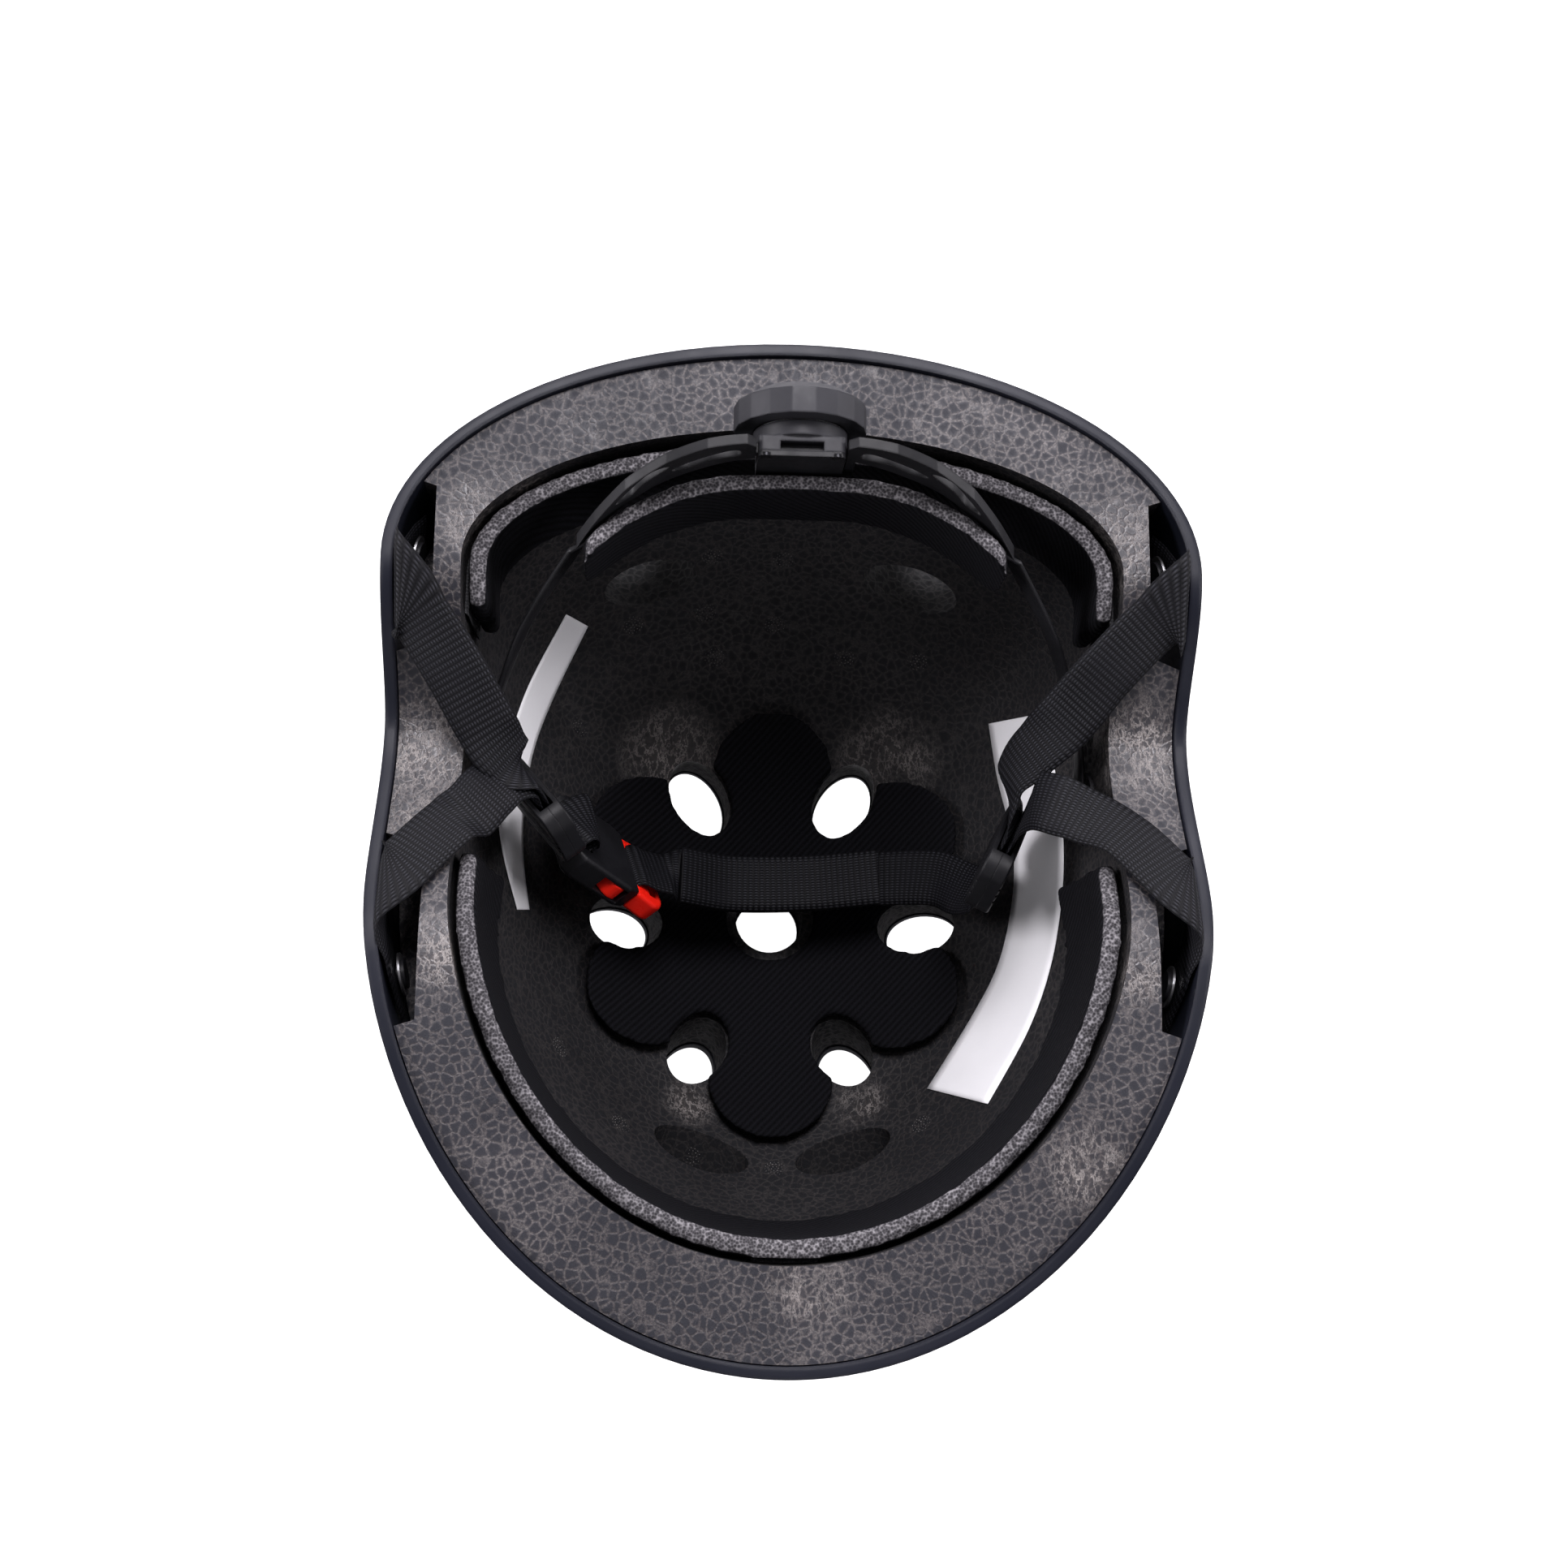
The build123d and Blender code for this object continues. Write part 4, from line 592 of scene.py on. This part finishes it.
def band(name, width, thickness, material, ribbed=True):
    """Flat band along a route, with rounded edges and woven ribs across it."""
    stations = ROUTES[name]
    centres = [Vector(centre) for centre, _ in stations]
    sides = []
    for index, (_, across) in enumerate(stations):
        across = Vector(across)
        run = (centres[min(index + 1, len(centres) - 1)] - centres[max(index - 1, 0)]).normalized()
        side = across * MM if across.length > FOLD_LENGTH else squared(across, run) * width / 2
        if sides and side.dot(sides[-1]) < 0:
            side = -side
        sides.append(side)
    rows = []
    length = 0.0
    last = None
    for index in range(len(centres) - 1):
        chord = (centres[index + 1] - centres[index]).length
        steps = max(round(chord / RIB * ROWS_PER_RIB), 2)
        for step in range(steps + (index == len(centres) - 2)):
            share = step / steps
            centre = cubic(centres, index, share)
            ease = share * share * (3 - 2 * share)
            side = sides[index].lerp(sides[index + 1], ease)
            reach = sides[index].length * (1 - ease) + sides[index + 1].length * ease
            side = side.normalized() * reach
            if last is not None:
                length += (centre - last).length
            last = centre
            rows.append((centre, side, length))
    points = []
    uvs = []
    ring = 2 * ACROSS
    for index, (centre, side, along) in enumerate(rows):
        run = (rows[min(index + 1, len(rows) - 1)][0] - rows[max(index - 1, 0)][0]).normalized()
        face = run.cross(side).normalized()
        swell = 1 - RIB_DIP + RIB_DIP * abs(math.sin(math.pi * along / RIB)) if ribbed else 1.0
        for step in range(ring):
            if step < ACROSS:
                share = -1 + 2 * step / (ACROSS - 1)
                way = 1
            else:
                share = 1 - 2 * (step - ACROSS) / (ACROSS - 1)
                way = -1
            full = max(1 - abs(share) ** EDGE_POWER, EDGE_SHARE)
            lift = face * way * thickness / 2 * full * swell
            points.append(centre + side * share * REACH_SHARE + lift)
            uvs.append((along, share * width / 2))
    faces = []
    for row in range(len(rows) - 1):
        for step in range(ring):
            a = row * ring + step
            b = row * ring + (step + 1) % ring
            faces.append((a, b, b + ring, a + ring))
    faces.append(tuple(reversed(range(ring))))
    faces.append(tuple(range((len(rows) - 1) * ring, len(rows) * ring)))
    piece = new_mesh(name + "_weave", points, faces, material, uvs=uvs)
    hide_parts(name)
    return piece


# Points where the moving webbing and belts would bend, still up to the start and carried along from the end
# on; only the sides' names are read below, and nothing is bent
BELT_BENDS = {
    "left": ((-0.0765, 0.02, 0.0964), (-0.056, 0.070, 0.133)),
    "right": ((0.0765, 0.02, 0.0964), (0.056, 0.070, 0.133)),
}

for name in ("strap_rear_right", "strap_front_right", "strap_rear_left", "strap_front_left", "buckle_strap"):
    piece = band(name, WEBBING_WIDTH, WEBBING_THICK, WEBBING)
    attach(piece, "helmet")
for name in ("chin_strap", "chin_strap_tail"):
    piece = band(name, WEBBING_WIDTH, WEBBING_THICK, WEBBING)
    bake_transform(piece)
for side, bend in BELT_BENDS.items():
    piece = band(f"fit_belt_{side}", BELT_WIDTH, BELT_THICK, ARM, ribbed=False)
    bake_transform(piece)


# Pads: frames of the cloth simulation, its stiffness, and the smoothing after it
CLOTH_FRAMES = 14
STRETCH_STIFFNESS = 30
BEND_STIFFNESS = 2.0
SMOOTH_STEPS = 2
SMOOTH_SHARE = 0.4


def activate(piece):
    bpy.ops.object.select_all(action="DESELECT")
    piece.select_set(True)
    bpy.context.view_layer.objects.active = piece


def swell(piece, pressure, cap):
    """Cloth under pressure, with no point moved further than the cap."""
    activate(piece)
    start = [vertex.co.copy() for vertex in piece.data.vertices]
    cloth = piece.modifiers.new("swell", "CLOTH")
    settings = cloth.settings
    settings.use_pressure = True
    settings.uniform_pressure_force = pressure
    settings.effector_weights.gravity = 0
    settings.tension_stiffness = STRETCH_STIFFNESS
    settings.compression_stiffness = STRETCH_STIFFNESS
    settings.bending_stiffness = BEND_STIFFNESS
    for number in range(1, CLOTH_FRAMES + 1):
        bpy.context.scene.frame_set(number)
    bpy.ops.object.modifier_apply(modifier=cloth.name)
    bpy.context.scene.frame_set(1)
    for vertex, before in zip(piece.data.vertices, start):
        move = vertex.co - before
        if move.length > cap:
            vertex.co = before + move.normalized() * cap


def pad(node, voxel, pressure, cap, material):
    """Padded piece grown from a pad's own shape: remeshed, swollen, smoothed and made finer."""
    piece = bpy.data.objects.new(node + "_padded", nodes[node].data.copy())
    bpy.context.scene.collection.objects.link(piece)
    piece.data.materials.clear()
    piece.data.materials.append(material)
    activate(piece)
    grid = piece.modifiers.new("grid", "REMESH")
    grid.mode = "VOXEL"
    grid.voxel_size = voxel
    grid.use_smooth_shade = True
    bpy.ops.object.modifier_apply(modifier=grid.name)
    swell(piece, pressure, cap)
    smooth = piece.modifiers.new("smooth", "SMOOTH")
    smooth.iterations = SMOOTH_STEPS
    smooth.factor = SMOOTH_SHARE
    bpy.ops.object.modifier_apply(modifier=smooth.name)
    fine = piece.modifiers.new("fine", "SUBSURF")
    fine.levels = 1
    fine.render_levels = 1
    bpy.ops.object.modifier_apply(modifier=fine.name)
    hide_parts(node)
    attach(piece, "helmet")


# Each pad's mesh step, pressure and furthest swelling, with its cloth
pad("brow_pad", 1.6 * MM, 2.0, 0.8 * MM, PAD_WALL)
pad("rear_ring_pad", 1.6 * MM, 2.0, 0.8 * MM, PAD_WALL)
pad("crown_pad", 1.4 * MM, 1.5, 0.6 * MM, PAD_CROWN)
pad("cradle_pad", 1.4 * MM, 2.0, 0.8 * MM, PAD_WALL)


# Labels and steam marks on the foam's inner wall, each place across and down in the photograph
RIGHT_LABEL_INNER = (
    (1219, 892), (1230, 960), (1249, 1040), (1248, 1110), (1232, 1185), (1200, 1250), (1143, 1342),
)
RIGHT_LABEL_OUTER = (
    (1281, 880), (1301, 950), (1311, 1030), (1309, 1110), (1296, 1190), (1268, 1270), (1218, 1361),
)
LEFT_LABEL_INNER = ((724, 771), (680, 862), (655, 930), (645, 1000), (644, 1060), (651, 1121))
LEFT_LABEL_OUTER = ((697, 756), (650, 845), (625, 920), (613, 990), (618, 1050), (636, 1121))
STEAM_MARKS = (
    (965, 690), (877, 685), (955, 770), (870, 755), (780, 770), (1040, 810), (1130, 815), (880, 810),
    (715, 895), (690, 1290), (765, 1385), (850, 1425), (955, 1440), (1050, 1350), (1135, 1385),
)

# Labels: lift off the foam, thickness, and steps along and across. Nubs: rings, radius, sides, spread
# of their sizes, height as a share of the size, and the seed of the spread
LABEL_LIFT = 0.3 * MM
LABEL_THICK = 0.15 * MM
LABEL_COLUMNS = 60
LABEL_ROWS = 8
MARK_RINGS = ((0.95 * MM, 6), (1.9 * MM, 12), (2.7 * MM, 16))
NUB = 0.21 * MM
NUB_SIDES = 6
NUB_SPREAD = (0.7, 1.15)
NUB_HEIGHT = 1.1
NUB_SEED = 4


def along(line, share):
    """A place along a line of places, by its share of their number."""
    place = share * (len(line) - 1)
    index = min(int(place), len(line) - 2)
    a, b, c, d = (Vector(line[min(max(index + step, 0), len(line) - 1)]) for step in (-1, 0, 1, 2))
    s = place - index
    square = (2 * a - 5 * b + 4 * c - d) * s * s
    cube = (3 * b - a - 3 * c + d) * s ** 3
    return 0.5 * (2 * b + (c - a) * s + square + cube)


def sticker(name, inner, outer):
    """Blank label laid on the foam between two edges seen in the photograph."""
    points = []
    faces = []
    for column in range(LABEL_COLUMNS + 1):
        near = along(inner, column / LABEL_COLUMNS)
        far = along(outer, column / LABEL_COLUMNS)
        for row in range(LABEL_ROWS + 1):
            place = near.lerp(far, row / LABEL_ROWS)
            points.append(seen_on_foam(place.x, place.y, LABEL_LIFT)[0])
    for column in range(LABEL_COLUMNS):
        for row in range(LABEL_ROWS):
            a = column * (LABEL_ROWS + 1) + row
            b = a + LABEL_ROWS + 1
            faces.append((a, a + 1, b + 1, b))
    piece = new_mesh(name, points, faces, LABEL)
    thick = piece.modifiers.new("thick", "SOLIDIFY")
    thick.thickness = LABEL_THICK
    thick.offset = 0
    activate(piece)
    bpy.ops.object.modifier_apply(modifier=thick.name)
    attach(piece, "helmet")


def steam_marks():
    """Rings of small nubs that the mould's steam vents leave on the foam."""
    points = []
    faces = []
    random.seed(NUB_SEED)
    for across, down in STEAM_MARKS:
        centre, normal = seen_on_foam(across, down, 0.0)
        side = normal.orthogonal().normalized()
        other = normal.cross(side)
        spots = [(0.0, 0.0)]
        for ring, number in MARK_RINGS:
            shift = 0.5 * (ring > MARK_RINGS[0][0])
            for step in range(number):
                turn = 2 * math.pi * (step + shift) / number
                spots.append((ring * math.cos(turn), ring * math.sin(turn)))
        for x, y in spots:
            middle = centre + side * x + other * y
            size = NUB * random.uniform(*NUB_SPREAD)
            start = len(points)
            for step in range(NUB_SIDES):
                turn = 2 * math.pi * step / NUB_SIDES
                way = side * math.cos(turn) + other * math.sin(turn)
                points.append(middle + way * size - normal * LABEL_THICK)
            points.append(middle + normal * size * NUB_HEIGHT)
            for step in range(NUB_SIDES):
                faces.append((start + step, start + (step + 1) % NUB_SIDES, start + NUB_SIDES))
            faces.append(tuple(reversed(range(start, start + NUB_SIDES))))
    piece = new_mesh("steam_marks", points, faces, MARK)
    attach(piece, "helmet")


sticker("label_right", RIGHT_LABEL_INNER, RIGHT_LABEL_OUTER)
sticker("label_left", LEFT_LABEL_INNER, LEFT_LABEL_OUTER)
steam_marks()


# Floor and lamps. Each lamp: name, place, size in metres and power in watts, aimed at the helmet's middle
LIGHT_COLOR = (0.98, 0.95, 1.0)
WORLD_STRENGTH = 0.2
FLOOR_REACH = 3
FLOOR_GREY = (0.5, 0.5, 0.5, 1)
MIDDLE = (0, 0, 0.12)
LAMPS = (
    ("top", (0.05, 0.60, 1.25), 0.6, 17),
    ("back", (0.1, 1.5, 0.75), 0.9, 19),
    ("left", (-1.4, 0.15, 0.75), 0.8, 22),
    ("right", (1.4, 0.15, 0.75), 0.8, 17),
    ("front", (0.1, -1.5, 0.6), 0.8, 6),
)


def make_stage():
    """Pale floor that the camera sees as white, and that only reflects grey into the helmet."""
    mesh = bpy.data.meshes.new("floor")
    corners = [(x * FLOOR_REACH, y * FLOOR_REACH, 0) for x, y in ((-1, -1), (1, -1), (1, 1), (-1, 1))]
    mesh.from_pydata(corners, [], [(0, 1, 2, 3)])
    floor = bpy.data.objects.new("floor", mesh)
    bpy.context.scene.collection.objects.link(floor)
    material = bpy.data.materials.new("floor_paper")
    material.use_nodes = True
    tree = material.node_tree
    tree.nodes.clear()
    out = tree.nodes.new("ShaderNodeOutputMaterial")
    paint = tree.nodes.new("ShaderNodeBsdfDiffuse")
    paint.inputs["Color"].default_value = FLOOR_GREY
    glow = tree.nodes.new("ShaderNodeEmission")
    path = tree.nodes.new("ShaderNodeLightPath")
    tree.links.new(path.outputs["Is Camera Ray"], glow.inputs["Strength"])
    both = tree.nodes.new("ShaderNodeAddShader")
    tree.links.new(paint.outputs[0], both.inputs[0])
    tree.links.new(glow.outputs[0], both.inputs[1])
    tree.links.new(both.outputs[0], out.inputs[0])
    mesh.materials.append(material)


def lamp(name, place, size, power):
    data = bpy.data.lights.new(name, "AREA")
    data.shape = "DISK"
    data.size = size
    data.energy = power
    data.color = LIGHT_COLOR
    light = bpy.data.objects.new(name, data)
    bpy.context.scene.collection.objects.link(light)
    light.location = place
    light.rotation_euler = (Vector(MIDDLE) - Vector(place)).to_track_quat("-Z", "Y").to_euler()


def make_world():
    world = bpy.data.worlds.new("studio")
    bpy.context.scene.world = world
    world.use_nodes = True
    back = world.node_tree.nodes["Background"]
    back.inputs["Color"].default_value = (*LIGHT_COLOR, 1)
    back.inputs["Strength"].default_value = WORLD_STRENGTH


make_stage()
make_world()
for name, place, size, power in LAMPS:
    lamp(name, place, size, power)
bpy.context.scene.view_settings.view_transform = "Standard"
